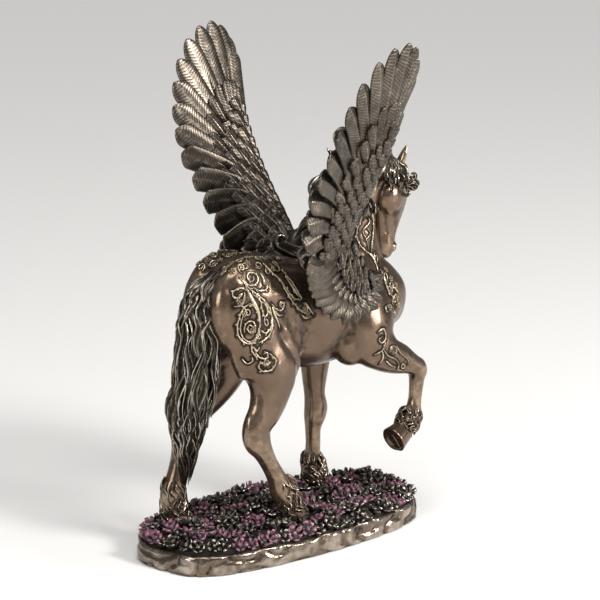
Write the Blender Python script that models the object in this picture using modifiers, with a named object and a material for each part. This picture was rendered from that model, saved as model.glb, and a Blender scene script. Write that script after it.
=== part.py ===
"""Pegasus figurine, cast in one piece: a winged horse steps over an oval bed of flowers.

The horse faces +X, its left side is +Y, and the base stands on z = 0 with its middle at the origin.
Each form is a closed loft or a squashed sphere. The forms are fused into one skin, as the clay of
a sculpture is, and the skin is cut flat underneath. All sizes are in metres.
"""

import math
import random

import bmesh
import bpy
import numpy as np
from mathutils import Matrix, Vector

# Base and flower bed
BASE_LENGTH = 0.168
BASE_WIDTH = 0.075
BASE_SQUARENESS = 2.9
RIM_HEIGHT = 0.0105
RIM_CHAMFER = 0.0012
BED_RISE = 0.005
BED_SHOULDER = 0.007
MOUND_RISE = 0.008
MOUND_REACH = 0.016
BLOOM_RADIUS = 0.0040
BLOOM_HEIGHT = 0.0027
BLOOM_SPACING = 0.0074
BLOOM_SHIFT = 0.0018
BED_WAVE = 0.0011

# Trunk
BACK_HEIGHT = 0.1355
TRUNK_BACK_X = -0.0535
TRUNK_LENGTH = 0.135
TRUNK_DEPTH = 0.058
TRUNK_WIDTH = 0.041

# Neck and head
NECK_RISE = 0.062
NECK_REACH = 0.027
NECK_WIDTH = 0.022
HEAD_LENGTH = 0.052
HEAD_DEPTH = 0.0255
HEAD_WIDTH = 0.0168
HEAD_TURN = math.radians(10)
EAR_LENGTH = 0.0125
EAR_RADIUS = 0.0027

# Legs
HIND_TRACK = 0.038
FORE_TRACK = 0.036
THIGH_DEPTH = 0.046
GASKIN_DEPTH = 0.022
HOCK_DEPTH = 0.0158
SHOULDER_DEPTH = 0.040
FOREARM_DEPTH = 0.0185
KNEE_DEPTH = 0.0134
CANNON_DEPTH = 0.0092
FETLOCK_DEPTH = 0.0128
HOOF_RADIUS = 0.0072
HOOF_LENGTH = 0.0105

# Hair
TAIL_WIDTH = 0.018
TAIL_LOCK_RADIUS = 0.0027
MANE_LOCK_LENGTH = 0.031
MANE_LOCK_RADIUS = 0.0032
FORELOCK_LENGTH = 0.017

# Wings
WING_HEIGHT = 0.1155
WING_SPREAD = 0.079
WING_CHORD = 0.044
WING_FLARE = 0.016
WING_ARM_RADIUS = 0.0040
FEATHER_WIDTH = 0.0128
FEATHER_THICKNESS = 0.0019
COVERT_LIFT = 0.0020
CAPE_REACH = 1.0

# Fused skin
SKIN_CELL = 0.00075
SKIN_TRIANGLES = 11700
CUT_DEPTH = 0.002

BRONZE_COLOUR = (0.20, 0.145, 0.10, 1.0)

GROUND = RIM_HEIGHT + BED_RISE
LOIN_Z = GROUND + BACK_HEIGHT
HIP_X = TRUNK_BACK_X + 0.20 * TRUNK_LENGTH
WITHERS_X = TRUNK_BACK_X + 0.60 * TRUNK_LENGTH
SHOULDER_X = TRUNK_BACK_X + 0.752 * TRUNK_LENGTH
CHEST_Z = LOIN_Z - 0.0225
POLL = Vector((SHOULDER_X + NECK_REACH, 0, CHEST_Z + NECK_RISE))
LEFT, RIGHT = 1, -1

# Each trunk row: share of the length, top line above the loin, share of the depth, share of the width
TRUNK = (
    (0.00, -0.0090, 0.28, 0.36),
    (0.04, -0.0035, 0.58, 0.70),
    (0.11, 0.0010, 0.76, 0.93),
    (0.20, 0.0042, 0.88, 1.05),
    (0.31, 0.0028, 0.94, 1.02),
    (0.42, -0.0016, 0.98, 0.98),
    (0.52, -0.0034, 1.00, 0.98),
    (0.62, -0.0006, 1.04, 0.95),
    (0.72, -0.0010, 0.97, 0.92),
    (0.82, -0.0050, 0.86, 0.84),
    (0.91, -0.0140, 0.66, 0.70),
    (0.97, -0.0240, 0.42, 0.50),
    (1.00, -0.0320, 0.14, 0.20),
)
# Each neck row: share of the rise, share of the reach, half of the depth, share of the width
NECK = (
    (0.00, 0.00, 0.0270, 1.35),
    (0.19, 0.00, 0.0215, 1.18),
    (0.39, 0.01, 0.0168, 1.02),
    (0.56, 0.04, 0.0138, 0.92),
    (0.74, 0.15, 0.0122, 0.84),
    (0.90, 0.37, 0.0116, 0.78),
    (0.99, 0.70, 0.0104, 0.72),
    (1.00, 1.00, 0.0070, 0.55),
)
# Each head row: share of the length, forward shift, share of the depth, share of the width
HEAD = (
    (0.00, 0.0000, 0.38, 0.62),
    (0.09, 0.0006, 0.74, 0.90),
    (0.20, 0.0010, 0.98, 1.00),
    (0.34, 0.0000, 1.00, 0.98),
    (0.48, -0.0012, 0.92, 0.84),
    (0.62, -0.0024, 0.74, 0.68),
    (0.75, -0.0036, 0.58, 0.60),
    (0.87, -0.0046, 0.50, 0.63),
    (0.96, -0.0054, 0.42, 0.54),
    (1.00, -0.0060, 0.22, 0.34),
)
# Loose curls on the tail: share of its length, how far back, how far out
TAIL_CURLS = ((0.60, -0.0130, 0.007), (0.70, 0.0090, -0.003), (0.84, 0.0065, 0.004))
# The wing's spread, as shares of WING_HEIGHT above the root and of WING_SPREAD out from the middle
WING_BOW = (
    (-0.12, 0.12), (0.00, 0.22), (0.13, 0.36), (0.26, 0.52),
    (0.39, 0.66), (0.56, 0.80), (0.78, 0.91), (1.00, 1.00),
)
# The outline that the flight feathers' tips follow, from the lowest to the leading one, as shares
# of WING_CHORD back from the leading edge and of WING_HEIGHT above the root
TIP_LINE = (
    (0.84, 0.02), (0.93, 0.17), (1.04, 0.34), (1.04, 0.50), (0.96, 0.66),
    (0.80, 0.82), (0.52, 0.95), (0.20, 1.00), (0.01, 0.96), (-0.07, 0.86),
)
# The cape's feathers, from the rearmost to the foremost: behind the withers, out, below the loin
CAPE_ROOTS = (
    (0.0145, 0.0250, -0.006), (0.0145, 0.0250, 0.004), (0.0080, 0.0250, 0.0145),
    (0.0000, 0.0240, 0.0205), (-0.0105, 0.0215, 0.0200), (-0.0165, 0.0180, 0.0130),
)
CAPE_TIPS = (
    (0.0395, 0.0355, 0.001), (0.0365, 0.0345, 0.011), (0.0255, 0.0310, 0.0230),
    (0.0055, 0.0275, 0.0320), (-0.0145, 0.0235, 0.0310), (-0.0225, 0.0185, 0.0180),
)
ROOT_LINE = ((0.10, 0.10), (0.12, 0.22), (0.11, 0.32), (0.08, 0.41), (0.03, 0.50))


def spline_rows(rows, steps):
    """Rows between the given ones, on a smooth curve through them."""
    table = np.array(rows, float)
    padded = np.vstack((2 * table[0] - table[1], table, 2 * table[-1] - table[-2]))
    made = []
    for i in range(len(table) - 1):
        before, start, end, after = padded[i : i + 4]
        for t in np.linspace(0, 1, steps, endpoint=False):
            made.append(
                0.5
                * (
                    2 * start
                    + (end - before) * t
                    + (2 * before - 5 * start + 4 * end - after) * t**2
                    + (3 * start - before - 3 * end + after) * t**3
                )
            )
    made.append(table[-1])
    return np.array(made)


def spline_at(rows, share):
    """One row of the smooth curve through rows, at a share of the way along."""
    fine = spline_rows(rows, 12)
    place = share * (len(fine) - 1)
    low = min(int(place), len(fine) - 2)
    return fine[low] + (fine[low + 1] - fine[low]) * (place - low)


def loft(forms, stations, sides=14, steps=4, across=(0, 1, 0), egg=0.0):
    """Adds a closed tube through stations: centre x, y, z, half depth and half width."""
    rows = spline_rows(stations, steps)
    centres = rows[:, :3]
    along = np.gradient(centres, axis=0)
    mesh = bmesh.new()
    rings = []
    for centre, tangent, row in zip(centres, along, rows):
        tangent = Vector(tangent).normalized()
        side = Vector(across)
        side = (side - tangent * side.dot(tangent)).normalized()
        front = side.cross(tangent)
        ring = []
        for n in range(sides):
            turn = 2 * math.pi * n / sides
            deep = max(row[3], 0.0001) * math.cos(turn)
            wide = max(row[4], 0.0001) * math.sin(turn) * (1 + egg * math.cos(turn))
            ring.append(mesh.verts.new(Vector(centre) + front * deep + side * wide))
        rings.append(ring)
    for ring, following in zip(rings, rings[1:]):
        for n in range(sides):
            m = (n + 1) % sides
            mesh.faces.new((ring[n], ring[m], following[m], following[n]))
    mesh.faces.new(reversed(rings[0]))
    mesh.faces.new(rings[-1])
    bmesh.ops.recalc_face_normals(mesh, faces=mesh.faces)
    add_form(forms, mesh)


def ball(forms, centre, radii, segments=14):
    """Adds a sphere squashed to three half sizes."""
    mesh = bmesh.new()
    bmesh.ops.create_uvsphere(mesh, u_segments=segments, v_segments=segments // 2 + 1, radius=1)
    bmesh.ops.scale(mesh, vec=radii, verts=mesh.verts)
    bmesh.ops.translate(mesh, vec=centre, verts=mesh.verts)
    add_form(forms, mesh)


def add_form(forms, mesh):
    """Moves a finished form into the mesh that gathers them all."""
    held = bpy.data.meshes.new("form")
    mesh.to_mesh(held)
    mesh.free()
    forms.from_mesh(held)
    bpy.data.meshes.remove(held)


def outline_radius(turn):
    """How far the base's outline lies from its middle, as shares of its half sizes."""
    wave = 1 + 0.012 * math.sin(3 * turn + 0.6) + 0.010 * math.sin(7 * turn)
    power = BASE_SQUARENESS
    return wave / (abs(math.cos(turn)) ** power + abs(math.sin(turn)) ** power) ** (1 / power)


def edge_share(x, y):
    """0 at the middle of the base and 1 on its outline."""
    across, over = x / (BASE_LENGTH / 2), y / (BASE_WIDTH / 2)
    return math.hypot(across, over) / outline_radius(math.atan2(over, across))


def bed_height(x, y):
    """The flower bed's surface: it falls to the rim, and humps under the forward hind hoof."""
    inset = (1 - edge_share(x, y)) * BASE_WIDTH / 2
    shoulder = max(0.0, min(1.0, inset / BED_SHOULDER))
    hump_x, hump_y = HIP_X + 0.008, -0.004
    away = math.hypot(x - hump_x, y - hump_y) / MOUND_REACH
    rise = BED_RISE + MOUND_RISE * math.exp(-(away**2))
    rise += BED_WAVE * (math.sin(x * 190 + 1) + math.sin(y * 260 + x * 90))
    return RIM_HEIGHT + rise * math.sin(shoulder * math.pi / 2)


def add_base(forms):
    """The rim, with a small chamfer, and the domed bed inside it, as rings of one outline."""
    chamfer = RIM_CHAMFER / (BASE_WIDTH / 2)
    rings = (
        (1.0 - chamfer, -CUT_DEPTH),
        (1.0, RIM_CHAMFER),
        (1.0, RIM_HEIGHT - RIM_CHAMFER),
        (1.0 - chamfer, RIM_HEIGHT),
    )
    sides = 72
    mesh = bmesh.new()
    made = []
    for share, height in rings:
        made.append([outline_vertex(mesh, share, n, sides, height) for n in range(sides)])
    for share in (0.93, 0.86, 0.76, 0.64, 0.50, 0.35, 0.18):
        made.append([outline_vertex(mesh, share, n, sides, None) for n in range(sides)])
    for ring, following in zip(made, made[1:]):
        for n in range(sides):
            m = (n + 1) % sides
            mesh.faces.new((ring[n], ring[m], following[m], following[n]))
    mesh.faces.new(reversed(made[0]))
    mesh.faces.new(made[-1])
    bmesh.ops.recalc_face_normals(mesh, faces=mesh.faces)
    add_form(forms, mesh)


def outline_vertex(mesh, share, n, sides, height):
    """A vertex on the outline drawn in to share; without a height it lies on the flower bed."""
    turn = 2 * math.pi * n / sides
    reach = outline_radius(turn) * share
    x = BASE_LENGTH / 2 * reach * math.cos(turn)
    y = BASE_WIDTH / 2 * reach * math.sin(turn)
    return mesh.verts.new((x, y, bed_height(x, y) if height is None else height))


def bloom_places():
    """A ring of places along the rim, and staggered rows with small shifts inside it."""
    chance = random.Random(17)
    turns = np.linspace(0, 2 * math.pi, 721)
    reach = np.array([outline_radius(turn) for turn in turns]) * 0.945
    edge = np.stack((BASE_LENGTH / 2 * reach * np.cos(turns), BASE_WIDTH / 2 * reach * np.sin(turns)))
    length = np.concatenate(([0], np.cumsum(np.hypot(*np.diff(edge)))))
    around = int(length[-1] / BLOOM_SPACING * 1.08)
    ring = []
    for n in range(around):
        place = length[-1] * (n + chance.uniform(-0.2, 0.2)) / around % length[-1]
        ring.append((float(np.interp(place, length, edge[0])), float(np.interp(place, length, edge[1]))))
    places = list(ring)
    rows = int(BASE_WIDTH / (BLOOM_SPACING * 0.87)) + 1
    columns = int(BASE_LENGTH / BLOOM_SPACING) + 1
    for row in range(rows):
        for column in range(columns):
            shift_x = chance.uniform(-0.16, 0.16) * BLOOM_SPACING
            shift_y = chance.uniform(-0.16, 0.16) * BLOOM_SPACING
            x = (column - columns / 2 + 0.5 * (row % 2)) * BLOOM_SPACING + shift_x
            y = (row - rows / 2 + 0.5) * BLOOM_SPACING * 0.87 + shift_y
            clear = min(math.hypot(x - a, y - b) for a, b in ring)
            if edge_share(x, y) < 0.93 and clear > 0.70 * BLOOM_SPACING:
                places.append((x, y))
    return places


def add_blooms(forms):
    """Low flower heads of several sizes, each lifted a little more or less out of the bed."""
    chance = random.Random(17)
    for x, y in bloom_places():
        tilt = chance.uniform(-0.4, 0.4), chance.uniform(-0.4, 0.4)
        size, spin = chance.uniform(0.80, 1.12), chance.uniform(0, 3)
        lift = chance.uniform(0.0, BLOOM_SHIFT)
        chance.random()
        mesh = bmesh.new()
        bmesh.ops.create_uvsphere(mesh, u_segments=7, v_segments=5, radius=1)
        reach = BLOOM_RADIUS * size
        bmesh.ops.scale(mesh, vec=(reach, reach, BLOOM_HEIGHT), verts=mesh.verts)
        lean = Vector((tilt[0], tilt[1], 1)).to_track_quat("Z", "Y").to_matrix()
        turn = Matrix.Rotation(spin, 3, "Z")
        bmesh.ops.rotate(mesh, matrix=lean @ turn, verts=mesh.verts)
        bmesh.ops.translate(mesh, vec=(x, y, bed_height(x, y) + lift), verts=mesh.verts)
        add_form(forms, mesh)


def add_trunk(forms):
    stations = []
    for share, top, depth, width in TRUNK:
        half = depth * TRUNK_DEPTH / 2
        x = TRUNK_BACK_X + share * TRUNK_LENGTH
        stations.append((x, 0, LOIN_Z + top - half, half, width * TRUNK_WIDTH / 2))
    loft(forms, stations, sides=22, egg=-0.16)


def add_muscles(forms):
    """The masses that show through the skin of the haunch, flank, shoulder and chest."""
    half = TRUNK_WIDTH / 2
    for side in (LEFT, RIGHT):
        ball(forms, (HIP_X - 0.003, side * half * 0.52, LOIN_Z - 0.021), (0.025, 0.0118, 0.026))
        ball(forms, (HIP_X + 0.014, side * half * 0.56, LOIN_Z - 0.040), (0.017, 0.0098, 0.020))
        ball(forms, (SHOULDER_X - 0.004, side * half * 0.52, LOIN_Z - 0.028), (0.018, 0.0085, 0.024))
        ball(forms, (SHOULDER_X + 0.016, side * 0.0070, CHEST_Z - 0.010), (0.0125, 0.009, 0.013))
        ball(forms, (SHOULDER_X - 0.010, side * half * 0.60, LOIN_Z - 0.049), (0.013, 0.0080, 0.013))


def neck_rows():
    rows = []
    for rise, reach, half, width in NECK:
        x, z = SHOULDER_X + reach * NECK_REACH, CHEST_Z + rise * NECK_RISE
        rows.append((x, 0, z, half, width * NECK_WIDTH / 2))
    return rows


def crest_point(share):
    """A point on the neck's top line, from the withers to the poll."""
    x, _, z, half, _ = spline_at(neck_rows(), 0.12 + 0.80 * share)
    lean = math.radians(20 + 55 * share**2)
    return Vector((x - half * 0.92 * math.cos(lean), 0, z + half * 0.92 * math.sin(lean)))


def head_point(forward, out, share):
    """A point of the head, turned about the poll: forward of its axis, out to +Y, share down."""
    point = Vector((forward, out, 0))
    turned = Vector(
        (
            point.x * math.cos(HEAD_TURN) - point.y * math.sin(HEAD_TURN),
            point.x * math.sin(HEAD_TURN) + point.y * math.cos(HEAD_TURN),
            0,
        )
    )
    return POLL + Vector((0, 0, 0.003 - share * HEAD_LENGTH)) + turned


def add_head(forms):
    across = (-math.sin(HEAD_TURN), math.cos(HEAD_TURN), 0)
    stations = []
    for share, forward, depth, width in HEAD:
        centre = head_point(forward, 0, share)
        stations.append((*centre, depth * HEAD_DEPTH / 2, width * HEAD_WIDTH / 2))
    loft(forms, stations, sides=16, across=across)
    for side in (LEFT, RIGHT):
        cheek = head_point(-0.20 * HEAD_DEPTH, side * 0.26 * HEAD_WIDTH, 0.36)
        ball(forms, cheek, (0.0085, 0.0050, 0.0100))
        brow = head_point(0.24 * HEAD_DEPTH, side * 0.36 * HEAD_WIDTH, 0.22)
        ball(forms, brow, (0.0036, 0.0024, 0.0030), segments=10)
        nostril = head_point(-0.06 * HEAD_DEPTH, side * 0.20 * HEAD_WIDTH, 0.89)
        ball(forms, nostril, (0.0032, 0.0024, 0.0030), segments=10)
        add_ear(forms, side)


def add_ear(forms, side):
    root = head_point(0.10 * HEAD_DEPTH, side * 0.24 * HEAD_WIDTH, 0.08)
    rows = []
    for share, size in ((0, 0.8), (0.3, 1.0), (0.6, 0.8), (0.85, 0.45), (1, 0.12)):
        lean = Vector((0.28 * share, side * 0.22 * share, 1.0 * share))
        centre = root + lean * EAR_LENGTH
        rows.append((*centre, EAR_RADIUS * size * 0.75, EAR_RADIUS * size))
    loft(forms, rows, sides=8, steps=2)


def hind_leg(forms, side, foot_x, stifle_x, hock_x, hock_lean):
    """From the hip to the hoof. hock_lean is how far the cannon's foot lies ahead of the hock."""
    y = side * HIND_TRACK / 2
    floor = bed_height(foot_x, y)
    reach = LOIN_Z - 0.012 - floor
    inner = side * TRUNK_WIDTH * 0.30
    # Share of the leg's height, x, y, half depth, half width
    rows = (
        (1.04, HIP_X, inner * 0.60, 0.26 * THIGH_DEPTH, 0.0050),
        (0.95, HIP_X + 0.1 * (stifle_x - HIP_X), inner * 0.82, 0.44 * THIGH_DEPTH, 0.0100),
        (0.86, HIP_X + 0.3 * (stifle_x - HIP_X), inner * 1.00, 0.48 * THIGH_DEPTH, 0.0110),
        (0.76, HIP_X + 0.6 * (stifle_x - HIP_X), inner * 1.16, 0.41 * THIGH_DEPTH, 0.0105),
        (0.66, stifle_x + 0.0042, y * 0.88, 0.83 * GASKIN_DEPTH, 0.0096),
        (0.57, stifle_x + 0.0038 + 0.12 * (hock_x - stifle_x), y * 0.96, 0.57 * GASKIN_DEPTH, 0.0082),
        (0.49, stifle_x + 0.0020 + 0.50 * (hock_x - stifle_x), y, 0.46 * GASKIN_DEPTH, 0.0063),
        (0.42, hock_x - 0.0010, y, 0.50 * HOCK_DEPTH, 0.0058),
        (0.365, hock_x, y, 0.50 * HOCK_DEPTH, 0.0057),
        (0.315, hock_x + 0.18 * hock_lean, y, 0.62 * CANNON_DEPTH, 0.0050),
        (0.26, hock_x + 0.38 * hock_lean, y, 0.52 * CANNON_DEPTH, 0.0045),
        (0.19, hock_x + 0.64 * hock_lean, y, 0.56 * CANNON_DEPTH, 0.0047),
        (0.12, hock_x + 0.86 * hock_lean, y, 0.54 * FETLOCK_DEPTH, 0.0060),
        (0.06, hock_x + 1.00 * hock_lean + 0.001, y, 0.50 * FETLOCK_DEPTH, 0.0060),
        (0.02, foot_x, y, 0.50 * FETLOCK_DEPTH, 0.0060),
    )
    loft(forms, [(x, out, floor + share * reach, deep, wide) for share, x, out, deep, wide in rows])
    add_hoof(forms, Vector((foot_x, y, floor + 0.45 * HOOF_LENGTH)), Vector((0.25, 0, -1)))
    fetlock = Vector((rows[-3][1], y, floor + rows[-3][0] * reach))
    add_hoof_hair(forms, fetlock, Vector((foot_x, y, floor)))


def standing_foreleg(forms, side, foot_x):
    y = side * FORE_TRACK / 2
    floor = bed_height(foot_x, y)
    reach = CHEST_Z - floor
    elbow_x = SHOULDER_X - 0.009
    rows = (
        (1.02, SHOULDER_X, y * 0.40, 0.24 * SHOULDER_DEPTH, 0.0045),
        (0.94, SHOULDER_X - 0.002, y * 0.62, 0.42 * SHOULDER_DEPTH, 0.0080),
        (0.84, SHOULDER_X - 0.004, y * 0.76, 0.40 * SHOULDER_DEPTH, 0.0090),
        (0.74, elbow_x, y * 0.90, 0.66 * FOREARM_DEPTH, 0.0084),
        (0.63, elbow_x - 0.001, y * 0.96, 0.50 * FOREARM_DEPTH, 0.0071),
        (0.53, foot_x - 0.001, y, 0.40 * FOREARM_DEPTH, 0.0060),
        (0.45, foot_x - 0.001, y, 0.44 * KNEE_DEPTH, 0.0055),
        (0.38, foot_x, y, 0.50 * KNEE_DEPTH, 0.0061),
        (0.33, foot_x - 0.001, y, 0.46 * KNEE_DEPTH, 0.0056),
        (0.28, foot_x - 0.002, y, 0.50 * CANNON_DEPTH, 0.0043),
        (0.20, foot_x - 0.002, y, 0.46 * CANNON_DEPTH, 0.0040),
        (0.14, foot_x - 0.0025, y, 0.50 * CANNON_DEPTH, 0.0044),
        (0.09, foot_x - 0.003, y, 0.48 * FETLOCK_DEPTH, 0.0054),
        (0.04, foot_x - 0.001, y, 0.44 * FETLOCK_DEPTH, 0.0052),
        (0.01, foot_x, y, 0.46 * FETLOCK_DEPTH, 0.0058),
    )
    loft(forms, [(x, out, floor + share * reach, deep, wide) for share, x, out, deep, wide in rows])
    add_hoof(forms, Vector((foot_x, y, floor + 0.45 * HOOF_LENGTH)), Vector((0.25, 0, -1)))
    fetlock = Vector((rows[-3][1], y, floor + rows[-3][0] * reach))
    add_hoof_hair(forms, fetlock, Vector((foot_x, y, floor)))


def raised_foreleg(forms, side):
    """The forearm reaches forward, the cannon hangs from the knee and the hoof folds back."""
    y = side * FORE_TRACK / 2
    knee = Vector((SHOULDER_X + 0.0310, y * 1.1, CHEST_Z - 0.0460))
    rows = (
        (SHOULDER_X, y * 0.40, CHEST_Z + 0.006, 0.26 * SHOULDER_DEPTH, 0.0045),
        (SHOULDER_X, y * 0.64, CHEST_Z - 0.004, 0.44 * SHOULDER_DEPTH, 0.0085),
        (SHOULDER_X - 0.001, y * 0.80, CHEST_Z - 0.016, 0.44 * SHOULDER_DEPTH, 0.0095),
        (SHOULDER_X + 0.001, y * 0.90, CHEST_Z - 0.027, 0.80 * FOREARM_DEPTH, 0.0090),
        (SHOULDER_X + 0.009, y, CHEST_Z - 0.035, 0.56 * FOREARM_DEPTH, 0.0078),
        (SHOULDER_X + 0.019, y * 1.05, CHEST_Z - 0.0395, 0.45 * FOREARM_DEPTH, 0.0066),
        (knee.x - 0.005, knee.y, knee.z + 0.003, 0.44 * KNEE_DEPTH, 0.0057),
        (knee.x, knee.y, knee.z, 0.42 * KNEE_DEPTH, 0.0056),
    )
    loft(forms, rows)
    ball(forms, knee + Vector((-0.0005, 0, -0.001)), (0.0056, 0.0056, 0.0066))
    fetlock = knee + Vector((-0.0035, 0, -0.0265))
    rows = (
        (knee.x - 0.0005, knee.y, knee.z, 0.38 * KNEE_DEPTH, 0.0050),
        (knee.x - 0.0010, knee.y, knee.z - 0.007, 0.46 * CANNON_DEPTH, 0.0042),
        (knee.x - 0.0020, knee.y, knee.z - 0.016, 0.40 * CANNON_DEPTH, 0.0037),
        (knee.x - 0.0030, knee.y, knee.z - 0.022, 0.48 * CANNON_DEPTH, 0.0042),
        (fetlock.x, fetlock.y, fetlock.z, 0.44 * FETLOCK_DEPTH, 0.0052),
    )
    loft(forms, rows)
    ball(forms, fetlock, (0.0062, 0.0056, 0.0060))
    sole_way = Vector((-0.90, -0.10, -0.42)).normalized()
    coronet = fetlock + Vector((-0.0060, 0, -0.0062))
    rows = (
        (*fetlock, 0.0058, 0.0054),
        (*(fetlock.lerp(coronet, 0.6)), 0.0050, 0.0048),
        (*coronet, 0.0056, 0.0056),
    )
    loft(forms, rows)
    add_hoof(forms, coronet + sole_way * 0.45 * HOOF_LENGTH, sole_way)
    add_hoof_hair(forms, fetlock, coronet)


def add_hoof(forms, centre, way):
    """A hoof about centre that widens along way, towards its sole."""
    way = way.normalized()
    across = Vector((0, 1, 0))
    rows = []
    for share, size in ((-0.5, 0.80), (-0.2, 0.92), (0.2, 1.0), (0.5, 1.08)):
        rows.append((*(centre + way * share * HOOF_LENGTH), HOOF_RADIUS * size, HOOF_RADIUS * size * 0.9))
    loft(forms, rows, sides=14, steps=2, across=across)


def add_hoof_hair(forms, fetlock, coronet):
    """Short locks that hang from the back and sides of a fetlock over its hoof."""
    for n in range(5):
        turn = math.radians(100 + 40 * n)
        out = Vector((math.cos(turn), math.sin(turn), 0)) * FETLOCK_DEPTH * 0.40
        root = fetlock + out
        way = (coronet - fetlock).normalized() + out * 30
        add_lock(forms, root, way, HOOF_LENGTH * 1.15, HOOF_RADIUS * 0.30, 0.10, 1.7 * n)


def tail_rows():
    """The tail's middle line and half sizes, from the dock down to its tip at the far hind leg."""
    dock = Vector((TRUNK_BACK_X + 0.009, 0, LOIN_Z - 0.0055))
    drop = dock.z - bed_height(HIP_X - 0.029, 0.01) - 0.020
    half = TAIL_WIDTH / 2
    # Share of the drop, back from the dock, out, half depth, half width
    shape = (
        (-0.03, 0.0050, 0.000, 0.60, 0.56),
        (0.04, -0.0042, 0.000, 0.98, 0.90),
        (0.10, -0.0074, 0.000, 1.08, 1.00),
        (0.18, -0.0094, 0.000, 1.10, 1.04),
        (0.28, -0.0100, 0.000, 1.12, 1.06),
        (0.44, -0.0107, 0.001, 1.17, 1.10),
        (0.60, -0.0130, 0.002, 1.00, 0.94),
        (0.70, -0.0142, 0.004, 0.84, 0.78),
        (0.78, -0.0133, 0.006, 0.62, 0.60),
        (0.88, -0.0110, 0.010, 0.36, 0.40),
        (1.00, -0.0090, 0.014, 0.10, 0.12),
    )
    return [
        (dock.x + back, out, dock.z - share * drop, deep * half, wide * half)
        for share, back, out, deep, wide in shape
    ]


def add_tail(forms):
    rows = tail_rows()
    loft(forms, rows)
    count = 11
    for n in range(count):
        turn = 2 * math.pi * n / count
        lock = []
        for step in range(9):
            share = step / 8
            x, y, z, deep, wide = spline_at(rows, 0.04 + share * (0.84 + 0.10 * math.sin(3 * n)))
            wave = turn + 0.35 * math.sin(5 * share + n)
            size = TAIL_LOCK_RADIUS * math.sin(math.pi * (0.12 + 0.84 * share)) ** 0.6
            lock.append((x + deep * math.cos(wave), y + wide * math.sin(wave), z, size, size))
        loft(forms, lock, sides=6, steps=2)
    for share, back, out in TAIL_CURLS:
        x, y, z, deep, wide = spline_at(rows, share)
        lock = []
        for step in range(7):
            bend = math.pi * (0.05 + 1.05 * step / 6)
            size = TAIL_LOCK_RADIUS * (1.0 - 0.6 * (step / 6) ** 2)
            reach = back * math.sin(bend)
            fall = 0.0105 * (1 - math.cos(bend))
            lock.append((x + reach, y + out * math.sin(bend), z - fall, size, size))
        loft(forms, lock, sides=6, steps=2)


def add_lock(forms, root, way, length, radius, curl, phase):
    """A tapering lock of hair from root along way, that waves and curls up at its tip."""
    way = way.normalized()
    over = Vector((0, 0, 1)) - way * way.z
    over = over.normalized() if over.length > 0.05 else Vector((1, 0, 0))
    rows = []
    for step in range(7):
        share = step / 6
        swing = 0.10 * math.sin(5.5 * share + phase) + curl * share**2.4
        centre = root + way * length * share * (1 - 0.25 * curl * share) + over * length * swing
        size = radius * (1 - 0.72 * share**1.5)
        rows.append((*centre, size, size * 0.8))
    loft(forms, rows, sides=6, steps=2)


def add_mane(forms):
    """Locks blown back off the crest, locks down each side of the neck, and the forelock."""
    for n in range(10):
        share = 0.12 + 0.86 * n / 9
        root = crest_point(share)
        lift = -0.35 + 0.60 * share
        way = Vector((-1.0, 0.34 * math.sin(2.1 * n), lift))
        long = MANE_LOCK_LENGTH * (0.86 + 0.16 * math.sin(1.7 * n))
        add_lock(forms, root, way, long, MANE_LOCK_RADIUS * 1.2, 0.22 * math.cos(n), n)
    for side in (LEFT, RIGHT):
        for n in range(7):
            share = 0.22 + 0.76 * n / 6
            root = crest_point(share) + Vector((0.003, side * 0.004, -0.001))
            way = Vector((-0.10 + 0.15 * math.sin(n), side * (0.42 - 0.16 * share), -1.0))
            long = MANE_LOCK_LENGTH * (0.72 + 0.14 * math.cos(2.3 * n))
            add_lock(forms, root, way, long, MANE_LOCK_RADIUS, 0.16, n + side)
    brow = head_point(0.10 * HEAD_DEPTH, 0, 0.05)
    for n in range(5):
        spread = (n - 2) / 2
        way = Vector((0.75, 0.45 * spread, -0.75 - 0.30 * (n % 2)))
        root = brow + Vector((0, 0.003 * spread, -0.001))
        add_lock(forms, root, way, FORELOCK_LENGTH, MANE_LOCK_RADIUS, 0.22, 2.0 * n)


def wing_point(side, back, rise, lift=0.0):
    """A point of a wing: shares back from its leading edge and up, and a lift off its surface."""
    bow = np.array(WING_BOW)
    out = float(np.interp(rise, bow[:, 0], bow[:, 1])) * WING_SPREAD + lift
    out += WING_FLARE * back * max(0.0, min(1.0, 1 - rise / 0.33))
    x = WITHERS_X - 0.0030 - back * WING_CHORD
    return Vector((x, side * out, LOIN_Z - 0.001 + rise * WING_HEIGHT))


def add_feather(forms, path, width, roll=0.0):
    """A flat blade along path, a list of points, with a round tip."""
    along = (path[-1] - path[0]).normalized()
    out = Vector((0, path[0].y, 0)).normalized()
    across = along.cross(out).normalized()
    across = (across * math.cos(roll) + out * math.sin(roll)).normalized()
    shares = (0.55, 0.84, 0.97, 1.00, 1.00, 0.88, 0.50)
    rows = []
    for n, size in enumerate(shares):
        place = (n / (len(shares) - 1)) ** 0.8 * (len(path) - 1)
        low = min(int(place), len(path) - 2)
        centre = path[low].lerp(path[low + 1], place - low)
        rows.append((*centre, FEATHER_THICKNESS / 2 * (0.55 + 0.45 * size), size * width / 2))
    loft(forms, rows, sides=8, steps=2, across=across)


def feather_path(side, root, tip, lift, bend):
    """Points from root to tip on the wing's surface, bowed by bend in the surface."""
    points = []
    for step in range(6):
        share = step / 5
        back = root[0] + (tip[0] - root[0]) * share
        rise = root[1] + (tip[1] - root[1]) * share + bend * math.sin(math.pi * share)
        points.append(wing_point(side, back, rise, lift * (1 - 0.7 * share)))
    return points


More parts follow.
